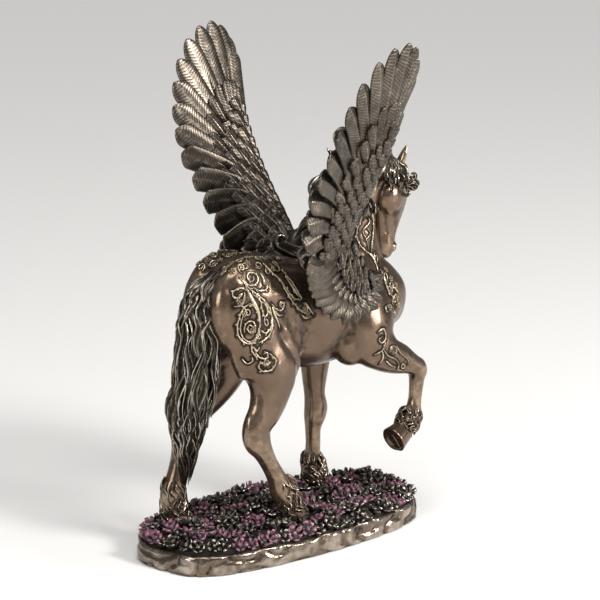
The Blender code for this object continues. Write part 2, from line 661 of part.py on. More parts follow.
def add_wing(forms, side):
    arm = []
    for share, size in ((0, 1.9), (0.2, 1.4), (0.45, 1.0), (0.7, 0.7), (1.0, 0.3)):
        centre = wing_point(side, 0.10, -0.10 + share * 0.62)
        arm.append((*centre, WING_ARM_RADIUS * size, WING_ARM_RADIUS * size * 0.8))
    loft(forms, arm, sides=10, across=(1, 0, 0))
    flight = 15
    for n in range(flight):
        share = n / (flight - 1)
        root, tip = spline_at(ROOT_LINE, share), spline_at(TIP_LINE, share)
        width = FEATHER_WIDTH * (1.10 - 0.40 * share**1.6)
        path = feather_path(side, root, tip, 0.0, 0.030 * (1 - share))
        add_feather(forms, path, width, roll=math.radians(7))
    for face in (1, -1):
        for count, reach, size in ((11, 0.56, 0.80), (9, 0.34, 0.66)):
            for n in range(count):
                share = (n + 0.5) / count
                root, tip = spline_at(ROOT_LINE, share), spline_at(TIP_LINE, share)
                end = root + (tip - root) * reach
                path = feather_path(side, root, end, face * COVERT_LIFT * (2.1 - 1.6 * reach), 0.01)
                add_feather(forms, path, FEATHER_WIDTH * size, roll=math.radians(7))


def shoulder_point(side, row, lift=0.0):
    """A point beside the shoulder: behind the withers, out to the side and below the loin."""
    back, out, down = row
    return Vector((WITHERS_X - back, side * (out + lift), LOIN_Z - down))


def add_cape(forms, side):
    """The scoop of feathers below the wing: it stands off the flank and wraps the shoulder."""
    ball(forms, shoulder_point(side, (-0.008, 0.0150, 0.006)), (0.019, 0.0080, 0.022))
    count = 13
    for n in range(count):
        share = n / (count - 1)
        root, tip = spline_at(CAPE_ROOTS, share), spline_at(CAPE_TIPS, share)
        tip = root + (tip - root) * CAPE_REACH
        path = []
        for step in range(6):
            along = step / 5
            row = root + (tip - root) * along
            path.append(shoulder_point(side, row, 0.0012 * math.sin(math.pi * along)))
        add_feather(forms, path, FEATHER_WIDTH * 0.80, roll=math.radians(12))
    for ring in range(3):
        for n in range(7):
            share = (n + 0.5 * (ring % 2)) / 6.5
            root = spline_at(CAPE_ROOTS, share)
            tip = spline_at(CAPE_TIPS, share)
            start = root + (root - tip) * 0.32 * (ring - 0.2)
            end = start + (tip - root) * 0.62
            path = [shoulder_point(side, start + (end - start) * step / 4, 0.0018) for step in range(5)]
            add_feather(forms, path, FEATHER_WIDTH * 0.66, roll=math.radians(12))


def fused_skin(forms):
    """One closed skin round all the forms, cut flat at z = 0, at the triangle count that is set."""
    gathered = bpy.data.meshes.new("gathered_forms")
    forms.to_mesh(gathered)
    forms.free()
    clay = bpy.data.objects.new("clay", gathered)
    bpy.context.scene.collection.objects.link(clay)
    remesh = clay.modifiers.new("one_skin", "REMESH")
    remesh.mode = "VOXEL"
    remesh.voxel_size = SKIN_CELL
    soften = clay.modifiers.new("soften", "SMOOTH")
    soften.factor = 0.5
    soften.iterations = 2
    fine = evaluated_mesh(clay)
    triangles = sum(len(face.vertices) - 2 for face in fine.polygons)
    bpy.data.meshes.remove(fine)
    thin = clay.modifiers.new("facets", "DECIMATE")
    thin.ratio = SKIN_TRIANGLES / triangles
    thin.use_collapse_triangulate = True
    skin = evaluated_mesh(clay)
    bpy.data.objects.remove(clay)
    bpy.data.meshes.remove(gathered)
    cut = bmesh.new()
    cut.from_mesh(skin)
    every = list(cut.verts) + list(cut.edges) + list(cut.faces)
    bmesh.ops.bisect_plane(cut, geom=every, plane_co=(0, 0, 0), plane_no=(0, 0, 1), clear_inner=True)
    bmesh.ops.holes_fill(cut, edges=[edge for edge in cut.edges if edge.is_boundary])
    bmesh.ops.recalc_face_normals(cut, faces=cut.faces)
    cut.to_mesh(skin)
    cut.free()
    return skin


def evaluated_mesh(item):
    graph = bpy.context.evaluated_depsgraph_get()
    return bpy.data.meshes.new_from_object(item.evaluated_get(graph))


def bronze():
    material = bpy.data.materials.new("cold_cast_bronze")
    material.use_nodes = True
    shader = material.node_tree.nodes["Principled BSDF"]
    shader.inputs["Base Color"].default_value = BRONZE_COLOUR
    shader.inputs["Metallic"].default_value = 0.75
    shader.inputs["Roughness"].default_value = 0.42
    return material


def main():
    for item in list(bpy.data.objects):
        bpy.data.objects.remove(item)
    home = bpy.data.collections.new("pegasus_figurine")
    bpy.context.scene.collection.children.link(home)

    forms = bmesh.new()
    add_base(forms)
    add_blooms(forms)
    add_trunk(forms)
    add_muscles(forms)
    loft(forms, neck_rows(), sides=18)
    add_head(forms)
    hind_leg(forms, RIGHT, HIP_X + 0.018, HIP_X + 0.001, HIP_X - 0.005, 0.019)
    hind_leg(forms, LEFT, HIP_X - 0.030, HIP_X - 0.002, HIP_X - 0.023, -0.009)
    standing_foreleg(forms, LEFT, SHOULDER_X - 0.009)
    raised_foreleg(forms, RIGHT)
    add_tail(forms)
    add_mane(forms)
    for side in (LEFT, RIGHT):
        add_wing(forms, side)
        add_cape(forms, side)

    mesh = fused_skin(forms)
    mesh.name = "pegasus"
    mesh.materials.append(bronze())
    figurine = bpy.data.objects.new("pegasus", mesh)
    home.objects.link(figurine)


main()
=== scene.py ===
"""Looks of the pegasus figurine: bronze horse, feathered wings, curling hair and a bed of flowers.

The horse faces +X, its left side is +Y, and the base stands on z = 0. Sizes are in metres.
"""

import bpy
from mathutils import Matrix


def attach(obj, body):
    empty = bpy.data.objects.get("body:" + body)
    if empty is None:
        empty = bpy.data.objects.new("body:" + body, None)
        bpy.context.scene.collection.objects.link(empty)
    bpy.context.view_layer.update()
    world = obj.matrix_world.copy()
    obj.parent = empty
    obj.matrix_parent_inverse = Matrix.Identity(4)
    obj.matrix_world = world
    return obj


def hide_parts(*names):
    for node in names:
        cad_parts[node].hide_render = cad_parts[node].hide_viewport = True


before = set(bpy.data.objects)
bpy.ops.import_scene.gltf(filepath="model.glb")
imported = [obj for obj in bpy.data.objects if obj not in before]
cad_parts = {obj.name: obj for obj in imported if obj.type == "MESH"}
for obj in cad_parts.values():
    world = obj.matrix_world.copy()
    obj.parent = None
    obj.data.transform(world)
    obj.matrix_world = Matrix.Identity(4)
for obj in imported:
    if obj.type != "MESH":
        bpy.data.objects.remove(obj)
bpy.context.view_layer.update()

import math
import random

import bpy
import numpy as np
from mathutils import Vector, noise
from mathutils.bvhtree import BVHTree
from mathutils.kdtree import KDTree

bl_info = {
    "name": "Pegasus figurine",
    "version": (1, 0, 0),
    "blender": (4, 5, 0),
    "location": "View3D > Sidebar > Pegasus",
    "description": "Bronze winged horse on a bed of flowers",
    "category": "Add Mesh",
}

NODE = "pegasus"
BODY = "root"
LEFT, RIGHT = 1, -1

# The places of the forms, as the cast solid has them
RIM_HEIGHT, BED_RISE, BED_SHOULDER = 0.0105, 0.005, 0.007
MOUND_RISE, MOUND_REACH = 0.008, 0.016
BASE_LENGTH, BASE_WIDTH, BASE_SQUARENESS = 0.168, 0.075, 2.9
BLOOM_SPACING = 0.0074
TRUNK_BACK_X, TRUNK_LENGTH, TRUNK_DEPTH, TRUNK_WIDTH = -0.0535, 0.135, 0.058, 0.041
BED_CLEAR, BED_EDGE, BED_FLOOR = 0.0006, 0.93, 0.0075
GROUND = RIM_HEIGHT + BED_RISE
LOIN_Z = GROUND + 0.1355
HIP_X = TRUNK_BACK_X + 0.20 * TRUNK_LENGTH
WITHERS_X = TRUNK_BACK_X + 0.60 * TRUNK_LENGTH
SHOULDER_X = TRUNK_BACK_X + 0.752 * TRUNK_LENGTH
CHEST_Z = LOIN_Z - 0.0225
NECK_RISE, NECK_REACH, NECK_WIDTH = 0.062, 0.027, 0.022
POLL = Vector((SHOULDER_X + NECK_REACH, 0, CHEST_Z + NECK_RISE))
HEAD_LENGTH, HEAD_DEPTH, HEAD_WIDTH, HEAD_TURN = 0.052, 0.0255, 0.0168, math.radians(10)
HIND_TRACK, FORE_TRACK = 0.038, 0.036
THIGH_DEPTH, GASKIN_DEPTH, HOCK_DEPTH = 0.046, 0.022, 0.0158
SHOULDER_DEPTH, FOREARM_DEPTH, KNEE_DEPTH = 0.040, 0.0185, 0.0134
CANNON_DEPTH, FETLOCK_DEPTH = 0.0092, 0.0128
HOOF_RADIUS, HOOF_LENGTH = 0.0072, 0.0105
WING_HEIGHT, WING_SPREAD, WING_CHORD, WING_FLARE = 0.1155, 0.079, 0.044, 0.016
# Each standing leg: its side, its foot, and a hind leg's stifle, hock and the lean of its cannon
HIND_RIGHT = (RIGHT, HIP_X + 0.018, HIP_X + 0.001, HIP_X - 0.005, 0.019)
HIND_LEFT = (LEFT, HIP_X - 0.030, HIP_X - 0.002, HIP_X - 0.023, -0.009)
FORE_LEFT = (LEFT, SHOULDER_X - 0.009)
# Voxel size of the sculpted skins, and how often each is relaxed
BODY_CELL, BODY_ROUNDS = 0.00095, 26
HEAD_CELL, HEAD_ROUNDS = 0.00048, 8
RELAX, RELAX_BACK = 0.55, 0.50
# Where the lines start that find the skin for the scrolls: from the side and from above
CAST_OUT, CAST_UP = 0.08, 0.30
# How far round a scroll the skin is sunk and dark, how deep, and how dark
SCROLL_HALO, SCROLL_SINK, SCROLL_SHADE = 0.0014, 0.00022, 0.50

# Share of the length, top line above the loin, share of the depth, share of the width
TRUNK = (
    (0.00, -0.0090, 0.28, 0.36),
    (0.04, -0.0035, 0.58, 0.70),
    (0.11, 0.0010, 0.76, 0.93),
    (0.20, 0.0042, 0.88, 1.05),
    (0.31, 0.0028, 0.94, 1.02),
    (0.42, -0.0016, 0.98, 0.98),
    (0.52, -0.0034, 1.00, 0.98),
    (0.62, -0.0006, 1.04, 0.95),
    (0.72, -0.0010, 0.97, 0.92),
    (0.82, -0.0050, 0.86, 0.84),
    (0.91, -0.0140, 0.66, 0.70),
    (0.97, -0.0240, 0.42, 0.50),
    (1.00, -0.0320, 0.14, 0.20),
)
# Share of the rise, share of the reach, half of the depth, share of the width
NECK = (
    (0.00, 0.00, 0.0270, 1.35),
    (0.19, 0.00, 0.0215, 1.18),
    (0.39, 0.01, 0.0168, 1.02),
    (0.56, 0.04, 0.0138, 0.92),
    (0.74, 0.15, 0.0122, 0.84),
    (0.90, 0.37, 0.0116, 0.78),
    (0.99, 0.70, 0.0104, 0.72),
    (1.00, 1.00, 0.0070, 0.55),
)
# Share of the length, forward shift, share of the depth, share of the width
HEAD = (
    (0.00, 0.0000, 0.38, 0.62),
    (0.09, 0.0006, 0.74, 0.90),
    (0.20, 0.0010, 0.98, 1.00),
    (0.34, 0.0000, 1.00, 0.98),
    (0.48, -0.0012, 0.92, 0.84),
    (0.62, -0.0024, 0.74, 0.68),
    (0.75, -0.0036, 0.58, 0.60),
    (0.87, -0.0046, 0.50, 0.63),
    (0.96, -0.0054, 0.42, 0.54),
    (1.00, -0.0060, 0.22, 0.34),
)
# The tail: share of its drop, back from the dock, out, half depth, half width
TAIL = (
    (-0.03, 0.0050, 0.000, 0.60, 0.56),
    (0.04, -0.0042, 0.000, 0.98, 0.90),
    (0.10, -0.0074, 0.000, 1.08, 1.00),
    (0.18, -0.0094, 0.000, 1.10, 1.04),
    (0.28, -0.0100, 0.000, 1.12, 1.06),
    (0.44, -0.0107, 0.001, 1.17, 1.10),
    (0.60, -0.0130, 0.002, 1.00, 0.94),
    (0.70, -0.0142, 0.004, 0.84, 0.78),
    (0.78, -0.0133, 0.006, 0.62, 0.60),
    (0.88, -0.0110, 0.010, 0.36, 0.40),
    (1.00, -0.0090, 0.014, 0.10, 0.12),
)
# The wing's spread: shares of its height above the root and of its width out from the middle
WING_BOW = (
    (-0.12, 0.12), (0.00, 0.22), (0.13, 0.36), (0.26, 0.52),
    (0.39, 0.66), (0.56, 0.80), (0.78, 0.91), (1.00, 1.00),
)
# Flight feathers' tips and roots, lowest first: shares of the chord back and of the height up
TIP_LINE = (
    (0.84, 0.02), (0.93, 0.17), (1.04, 0.34), (1.04, 0.50), (0.96, 0.66),
    (0.80, 0.82), (0.52, 0.95), (0.20, 1.00), (0.01, 0.96), (-0.07, 0.86),
)
ROOT_LINE = ((0.10, 0.10), (0.12, 0.22), (0.11, 0.32), (0.08, 0.41), (0.03, 0.50))
# How far the wing's front edge draws back and in at most, and how much of that at shares of its height
WING_DRAW = (0.0042, 0.0052)
WING_DRAWN = (
    (-0.12, 0.0), (0.00, 0.10), (0.13, 0.45), (0.26, 0.80), (0.39, 1.0),
    (0.56, 1.0), (0.72, 0.85), (0.86, 0.50), (1.00, 0.15),
)
# The small shoulder feathers' front limit: below the loin, behind the withers
CAPE_FRONT = (
    (-0.028, 0.003), (-0.020, 0.007), (-0.013, 0.004), (-0.005, -0.003),
    (0.006, -0.009), (0.016, -0.016), (0.030, -0.015),
)
# The shoulder's feathers, rearmost first: behind the withers, out, below the loin
CAPE_ROOTS = (
    (0.0145, 0.0250, -0.006), (0.0145, 0.0250, 0.004), (0.0080, 0.0250, 0.0145),
    (0.0000, 0.0240, 0.0205), (-0.0105, 0.0215, 0.0200), (-0.0165, 0.0180, 0.0130),
)
CAPE_TIPS = (
    (0.0395, 0.0355, 0.001), (0.0365, 0.0345, 0.011), (0.0255, 0.0310, 0.0230),
    (0.0055, 0.0275, 0.0320), (-0.0145, 0.0235, 0.0310), (-0.0225, 0.0185, 0.0180),
)
# Layers of the tail's locks: count, first start, last start, length, how far out
TAIL_LAYERS = (
    (24, 0.00, 0.05, 0.40, 0.90), (22, 0.08, 0.20, 0.36, 0.97), (22, 0.22, 0.36, 0.34, 1.00),
    (21, 0.36, 0.50, 0.32, 1.02), (18, 0.50, 0.62, 0.30, 1.02), (14, 0.60, 0.72, 0.26, 1.04),
    (10, 0.72, 0.80, 0.20, 1.0),
)
# Curls of the tail: share of the drop, back, out, size, turns
TAIL_CURLS = (
    (0.60, -0.0085, 0.003, 0.0048, 0.75), (0.63, -0.0105, -0.002, 0.0040, 0.8),
    (0.72, 0.0075, -0.003, 0.0040, 0.9), (0.80, 0.0055, 0.004, 0.0036, 0.9),
    (0.56, -0.0060, -0.006, 0.0038, 0.7), (0.86, -0.0030, 0.004, 0.0030, 0.9),
)
# Locks of the tail's tuft, of the mane behind the crest and on each side, of the forelock, and beside it
TUFT_LOCKS, CREST_LOCKS, NECK_LOCKS, BROW_LOCKS, POLL_LOCKS = 9, 16, 15, 15, 7
# Layers of the hair over a hoof: count, and the shares of its drop between which its locks begin
HOOF_HAIR_LAYERS = ((15, 0.0, 0.22), (14, 0.24, 0.46), (13, 0.45, 0.62))
# The rim's rings from the underside up: share of the outline, height, share of the carving
RIM_RINGS = (
    (0.12, 0.0, 0), (0.60, 0.0, 0), (0.97, 0.0, 0), (0.984, 0.0003, 0.4),
    *((0.990, 0.0010 + 0.00085 * n, 1.0) for n in range(10)),
    (0.984, 0.0098, 0.9), (0.972, 0.0105, 0.7), (0.950, 0.0107, 0.5), (0.925, 0.0098, 0.2),
    (0.88, 0.0085, 0), (0.12, 0.0085, 0),
)
# The bed's rings: share of the outline, and how far under the surface (None: at the bed's floor)
BED_RINGS = (
    (0.3, None), (0.90, None), (0.955, 0.0022), (0.94, 0.0), (0.90, 0.0), (0.84, 0.0), (0.76, 0.0),
    (0.66, 0.0), (0.55, 0.0), (0.43, 0.0), (0.31, 0.0), (0.19, 0.0), (0.07, 0.0),
)
# A leaf's rings: share along it, half width and half thickness as shares of its length
LEAF_RINGS = ((0, 0.10, 0.09), (0.30, 0.26, 0.10), (0.62, 0.24, 0.08), (1.0, 0.02, 0.03))
# The hoof's rings: share along it, and size
HOOF_RINGS = (
    (-0.5, 0.60), (-0.47, 0.80), (-0.40, 0.86), (-0.34, 0.83),
    *((-0.28 + 0.075 * n, 0.86 + 0.021 * n + 0.008 * (-1) ** n) for n in range(10)),
    (0.47, 1.08), (0.5, 1.04), (0.49, 0.88), (0.36, 0.80), (0.33, 0.5), (0.33, 0.05),
)
# Soft lights: name, place, width, power in watts
SOFT_LIGHTS = (
    ("key_light", (0.25, -1.20, 0.95), 0.42, 18),
    ("side_light", (0.85, -1.05, 0.34), 0.30, 9),
    ("fill_light", (-1.3, -0.4, 0.6), 0.7, 6),
)
# A wide sun for soft shadows: place, power, spread; the sky's strength as a light and as seen
SUN_PLACE, SUN_POWER, SUN_SPREAD = (-0.3, -0.4, 1.6), 1.75, math.radians(40)
SKY_LIGHT, SKY_SEEN = 0.20, 0.80
FLOOR_RADIUS = 6
# The photograph's view: 40 degrees to the rear of the right side and 12.5 degrees up
CAMERA_TURN, CAMERA_RISE = math.radians(-40), math.radians(12.5)
# The picture's width and the lens in pixels, and the figurine's origin: pixel, and metres from the lens
PICTURE_WIDTH, FOCAL, SENSOR_WIDTH = 600, 2170.0, 36
ORIGIN_ACROSS, ORIGIN_DOWN, ORIGIN_DEPTH = 281.64, 535.02, 1.15157


class FeatherSizes(bpy.types.PropertyGroup):
    """Sizes of the feathers on the wings and shoulders"""

    width: bpy.props.FloatProperty(
        name="Flight feather width", description="Widest part of a flight feather",
        default=0.0128, unit="LENGTH", precision=4)
    thickness: bpy.props.FloatProperty(
        name="Feather thickness", description="Thickness of a feather along its shaft",
        default=0.0019, unit="LENGTH", precision=4)
    barb_pitch: bpy.props.FloatProperty(
        name="Barb pitch", description="Distance between two barb lines along the shaft",
        default=0.0019, unit="LENGTH", precision=4)
    barb_depth: bpy.props.FloatProperty(
        name="Barb depth", description="Depth of the lines between the barbs",
        default=0.00026, unit="LENGTH", precision=5)


class HairSizes(bpy.types.PropertyGroup):
    """Sizes of the locks in tail, mane, forelock and fetlocks"""

    tail_lock: bpy.props.FloatProperty(
        name="Tail lock radius", description="Half thickness of a lock of the tail",
        default=0.0016, unit="LENGTH", precision=4)
    mane_lock: bpy.props.FloatProperty(
        name="Mane lock radius", description="Half thickness of a lock of the mane",
        default=0.0026, unit="LENGTH", precision=4)
    ridge: bpy.props.FloatProperty(
        name="Hair ridges", description="Height of the ridges along a lock, as a share of its radius",
        default=0.26, min=0, max=0.5)


class FlowerSizes(bpy.types.PropertyGroup):
    """Sizes of the flowers and leaves on the base"""

    radius: bpy.props.FloatProperty(
        name="Flower radius", description="Half width of one flower head",
        default=0.0042, unit="LENGTH", precision=4)
    petals: bpy.props.IntProperty(
        name="Petals", description="Petals on one flower head", default=6, min=5, max=8)
    leaf: bpy.props.FloatProperty(
        name="Leaf length", description="Length of one leaf", default=0.0042, unit="LENGTH",
        precision=4)


class Finishes(bpy.types.PropertyGroup):
    """Colours of the figurine's finishes"""

    bronze: bpy.props.FloatVectorProperty(
        name="Body bronze", description="Polished brown bronze of the horse", subtype="COLOR",
        size=4, default=(0.150, 0.102, 0.071, 1))
    dark_bronze: bpy.props.FloatVectorProperty(
        name="Wing bronze", description="Darkened bronze of wings and hair", subtype="COLOR",
        size=4, default=(0.072, 0.058, 0.045, 1))
    gold: bpy.props.FloatVectorProperty(
        name="Scrollwork", description="Pale gold rubbed on the raised scrolls", subtype="COLOR",
        size=4, default=(0.27, 0.215, 0.145, 1))
    recess: bpy.props.FloatVectorProperty(
        name="Recess", description="Dark wax that stays in the recesses", subtype="COLOR",
        size=4, default=(0.018, 0.013, 0.010, 1))
    blossom: bpy.props.FloatVectorProperty(
        name="Blossom", description="Rose paint brushed on the petals", subtype="COLOR",
        size=4, default=(0.26, 0.100, 0.155, 1))
    backdrop: bpy.props.FloatVectorProperty(
        name="Backdrop", description="Pale floor and backdrop", subtype="COLOR",
        size=4, default=(0.80, 0.79, 0.77, 1))


# Curves and tubes


def spline_rows(rows, steps):
    """Rows between the given ones, on a smooth curve through them."""
    table = np.array(rows, float)
    padded = np.vstack((2 * table[0] - table[1], table, 2 * table[-1] - table[-2]))
    t = np.linspace(0, 1, steps, endpoint=False)[:, None]
    made = []
    for i in range(len(table) - 1):
        before, start, end, after = padded[i : i + 4]
        made.append(
            0.5
            * (
                2 * start
                + (end - before) * t
                + (2 * before - 5 * start + 4 * end - after) * t**2
                + (3 * start - before - 3 * end + after) * t**3
            )
        )
    made.append(table[-1:])
    return np.vstack(made)


def spline_at(rows, share):
    """Rows of the smooth curve through rows, at one share or several of the way along."""
    fine = spline_rows(rows, 12)
    places = np.linspace(0, 1, len(fine))
    return np.stack([np.interp(share, places, column) for column in fine.T], axis=-1)


def unit(vectors):
    """The same vectors at length 1."""
    return vectors / np.maximum(np.linalg.norm(vectors, axis=-1, keepdims=True), 1e-12)


def once_round(count):
    """Angles at equal steps once round."""
    return 2 * math.pi * np.arange(count) / count


def arc(points):
    """Distance along a line of points, from 0."""
    return np.concatenate(([0], np.cumsum(np.linalg.norm(np.diff(points, axis=0), axis=1))))


class Clay:
    """Gathers closed forms, with a relief (0 groove, 1 ridge; on the feathers also lowered as painted shade)
    and a tint on each point.
    """

    def __init__(self):
        self.points, self.faces, self.relief, self.tint, self.count = [], [], [], [], 0

    def add(self, points, faces, relief=0.5, tint=0.5):
        points = np.asarray(points, float).reshape(-1, 3)
        self.points.append(points)
        self.faces += [tuple(int(i) + self.count for i in face) for face in faces]
        self.relief.append(np.broadcast_to(np.asarray(relief, float).reshape(-1), (len(points),)) * 1.0)
        self.tint.append(np.full(len(points), float(tint)))
        self.count += len(points)

    def tube(self, rings, relief=0.5, tint=0.5):
        """A closed skin through rings of points; the two ends are capped."""
        rings = np.asarray(rings, float)
        rows, sides = rings.shape[:2]
        index = np.arange(rows * sides).reshape(rows, sides)
        ahead = np.roll(index, -1, axis=1)
        quads = np.stack((index[:-1], ahead[:-1], ahead[1:], index[1:]), axis=-1).reshape(-1, 4)
        points = rings.reshape(-1, 3)
        a, b, c, d = (points[quads[:, n]] for n in range(4))
        middle = points.mean(axis=0)
        volume = np.einsum("ij,ij->i", a + c - 2 * middle, np.cross(c - a, d - b)).sum()
        faces = quads.tolist() + [index[0][::-1].tolist(), index[-1].tolist()]
        if volume < 0:
            faces = [face[::-1] for face in faces]
        self.add(points, faces, relief, tint)

    def loft(self, stations, sides=20, steps=5, across=(0, 1, 0), egg=0.0):
        """A tube through stations: centre x, y, z, half depth and half width."""
        rows = spline_rows(stations, steps)
        centres = rows[:, :3]
        along = unit(np.gradient(centres, axis=0))
        side = np.asarray(across, float) - along * (along @ np.asarray(across, float))[:, None]
        side = unit(side)
        front = np.cross(side, along)
        turn = once_round(sides)
        deep = np.maximum(rows[:, 3], 1e-4)[:, None] * np.cos(turn)
        wide = np.maximum(rows[:, 4], 1e-4)[:, None] * np.sin(turn) * (1 + egg * np.cos(turn))
        rings = centres[:, None] + front[:, None] * deep[..., None] + side[:, None] * wide[..., None]
        self.tube(rings)

    def ball(self, centre, radii, segments=18):
        """A sphere squashed to three half sizes."""
        rows = segments // 2 + 1
        up = math.pi * (np.arange(rows) + 0.5) / rows
        turn = once_round(segments)
        ring = np.stack(
            (
                np.sin(up)[:, None] * np.cos(turn),
                np.sin(up)[:, None] * np.sin(turn),
                np.repeat(np.cos(up)[:, None], segments, axis=1),
            ),
            axis=-1,
        )
        self.tube(ring * np.asarray(radii, float) + np.asarray(centre, float))

    def piece(self, name, materials=()):
        """The gathered forms as one object with its own mesh."""
        mesh = bpy.data.meshes.new(name)
        mesh.from_pydata(np.vstack(self.points).tolist(), [], self.faces)
        for label, values in (("relief", self.relief), ("tint", self.tint)):
            layer = mesh.attributes.new(label, "FLOAT", "POINT")
            layer.data.foreach_set("value", np.concatenate(values).astype(np.float32))
        mesh.update()
        item = bpy.data.objects.new(name, mesh)
        bpy.context.scene.collection.objects.link(item)
        for material in materials:
            mesh.materials.append(material)
        mesh.polygons.foreach_set("use_smooth", [True] * len(mesh.polygons))
        return item


def choose(item):
    """Makes one object the only one selected, and the active one."""
    for other in bpy.context.selected_objects:
        other.select_set(False)
    item.select_set(True)
    bpy.context.view_layer.objects.active = item


def dress(item):
    """Makes an object a piece of the figurine that stands for the cast solid."""
    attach(item, BODY)
    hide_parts(NODE)
    return item


# Sculpting on a voxel skin


def skin_of(clay, name, cell, rounds):
    """One skin round the forms, from the voxel remesh, relaxed without loss of volume."""
    item = clay.piece(name)
    choose(item)
    remesh = item.modifiers.new("one_skin", "REMESH")
    remesh.mode = "VOXEL"
    remesh.voxel_size = cell
    bpy.ops.object.modifier_apply(modifier=remesh.name)
    mesh = item.data
    points = positions(mesh)
    edges = edge_table(mesh)
    for _ in range(rounds):
        points = points + RELAX * drift(points, edges)
        points = points - RELAX_BACK * drift(points, edges)
    place(mesh, points)
    mesh.polygons.foreach_set("use_smooth", [True] * len(mesh.polygons))
    return item


def numbers(items, key, width, kind=np.float32):
    """One property of a mesh's points or edges, a row for each."""
    flat = np.empty(len(items) * width, kind)
    items.foreach_get(key, flat)
    return flat.reshape(-1, width)


def positions(mesh):
    """A mesh's points."""
    return numbers(mesh.vertices, "co", 3).astype(float)


def normals(mesh):
    """The direction in which the skin looks at each point."""
    return numbers(mesh.vertex_normals, "vector", 3).astype(float)


def place(mesh, points):
    """Moves a mesh's points to new places."""
    mesh.vertices.foreach_set("co", points.astype(np.float32).reshape(-1))
    mesh.update()


def edge_table(mesh):
    """The two points of each edge."""
    return numbers(mesh.edges, "vertices", 2, np.int32)


def drift(values, edges):
    """How far each value is from the mean of its neighbours."""
    total = np.zeros_like(values)
    count = np.zeros(len(values))
    for here, there in ((0, 1), (1, 0)):
        for axis in range(values.shape[1]):
            total[:, axis] += np.bincount(edges[:, here], values[edges[:, there], axis], len(values))
        count += np.bincount(edges[:, here], minlength=len(values))
    return total / np.maximum(count, 1)[:, None] - values


def hollow_mask(mesh, spread):
    """A relief from the shape itself: 0 in a hollow, 0.5 on flat skin, 1 on a ridge."""
    points, edges = positions(mesh), edge_table(mesh)
    soft = points
    for _ in range(spread):
        soft = soft + 0.7 * drift(soft, edges)
    bend = np.einsum("ij,ij->i", soft - points, normals(mesh))[:, None]
    for _ in range(8):
        bend = bend + 0.6 * drift(bend, edges)
    bend = bend[:, 0] - np.median(bend)
    scale = np.percentile(np.abs(bend), 85) + 1e-9
    relief = np.clip(0.5 - 0.20 * np.tanh(bend / scale / 1.6) * 1.6, 0, 1)
    for label, values in (("relief", relief), ("tint", np.full(len(points), 0.5))):
        layer = mesh.attributes.get(label) or mesh.attributes.new(label, "FLOAT", "POINT")
        layer.data.foreach_set("value", values.astype(np.float32))


def line_distance(points, line):
    """Distance of every point to a line of points."""
    line = np.asarray(line, float)
    nearest = np.full(len(points), 1e9)
    for start, end in zip(line, line[1:]):
        span = end - start
        t = np.clip((points - start) @ span / max(span @ span, 1e-15), 0, 1)
        nearest = np.minimum(nearest, np.linalg.norm(points - start - t[:, None] * span, axis=1))
    return nearest


def sculpt(mesh, strokes):
    """Raises the skin along lines, or cuts it where the height is negative.

    A stroke is its points, its radius and its height, in millimetres, and whether both sides have it.
    """
    points, away = positions(mesh), normals(mesh)
    moved = np.zeros(len(points))
    for line, radius, height, both in strokes:
        line = np.asarray(line, float) / 1000
        line = spline_rows(line, 4) if len(line) > 2 else line
        for side in (LEFT, RIGHT) if both else (LEFT,):
            near = line_distance(points, line * (1, side, 1)) / (radius / 1000)
            moved += height / 1000 * np.exp(-(near**2))
    place(mesh, points + away * moved[:, None])


# The horse's forms


def bed_height(x, y):
    """The flower bed's surface, as on the cast solid."""
    inset = (1 - edge_share(x, y)) * BASE_WIDTH / 2
    shoulder = max(0.0, min(1.0, inset / BED_SHOULDER))
    away = math.hypot(x - HIP_X - 0.008, y + 0.004) / MOUND_REACH
    rise = BED_RISE + MOUND_RISE * math.exp(-(away**2))
    rise += 0.0011 * (math.sin(x * 190 + 1) + math.sin(y * 260 + x * 90))
    return RIM_HEIGHT + rise * math.sin(shoulder * math.pi / 2)


def outline_radius(turn):
    """The base's outline at an angle, in shares of its half length and half width."""
    wave = 1 + 0.012 * math.sin(3 * turn + 0.6) + 0.010 * math.sin(7 * turn)
    power = BASE_SQUARENESS
    return wave / (abs(math.cos(turn)) ** power + abs(math.sin(turn)) ** power) ** (1 / power)


def edge_share(x, y):
    """How far out a place on the base lies: 1 is the outline."""
    across, over = x / (BASE_LENGTH / 2), y / (BASE_WIDTH / 2)
    return math.hypot(across, over) / outline_radius(math.atan2(over, across))


def add_trunk(clay):
    """The barrel from croup to chest, with the swells of haunch, stifle, shoulder and chest."""
    stations = []
    for share, top, depth, width in TRUNK:
        half = depth * TRUNK_DEPTH / 2
        x = TRUNK_BACK_X + share * TRUNK_LENGTH
        stations.append((x, 0, LOIN_Z + top - half, half, width * TRUNK_WIDTH / 2))
    clay.loft(stations, sides=36, egg=-0.16)
    half = TRUNK_WIDTH / 2
    for side in (LEFT, RIGHT):
        clay.ball((HIP_X - 0.003, side * half * 0.52, LOIN_Z - 0.021), (0.025, 0.0118, 0.026), 28)
        clay.ball((HIP_X + 0.014, side * half * 0.56, LOIN_Z - 0.040), (0.017, 0.0098, 0.020), 24)
        clay.ball((SHOULDER_X - 0.004, side * half * 0.52, LOIN_Z - 0.028), (0.018, 0.0085, 0.024), 24)
        clay.ball((SHOULDER_X + 0.016, side * 0.0070, CHEST_Z - 0.010), (0.0125, 0.009, 0.013), 24)
        clay.ball((SHOULDER_X - 0.010, side * half * 0.60, LOIN_Z - 0.049), (0.013, 0.0080, 0.013), 20)


def neck_rows():
    """The neck's stations: centre x, y, z, half depth and half width."""
    rows = []
    for rise, reach, half, width in NECK:
        x, z = SHOULDER_X + reach * NECK_REACH, CHEST_Z + rise * NECK_RISE
        rows.append((x, 0, z, half, width * NECK_WIDTH / 2))
    return rows


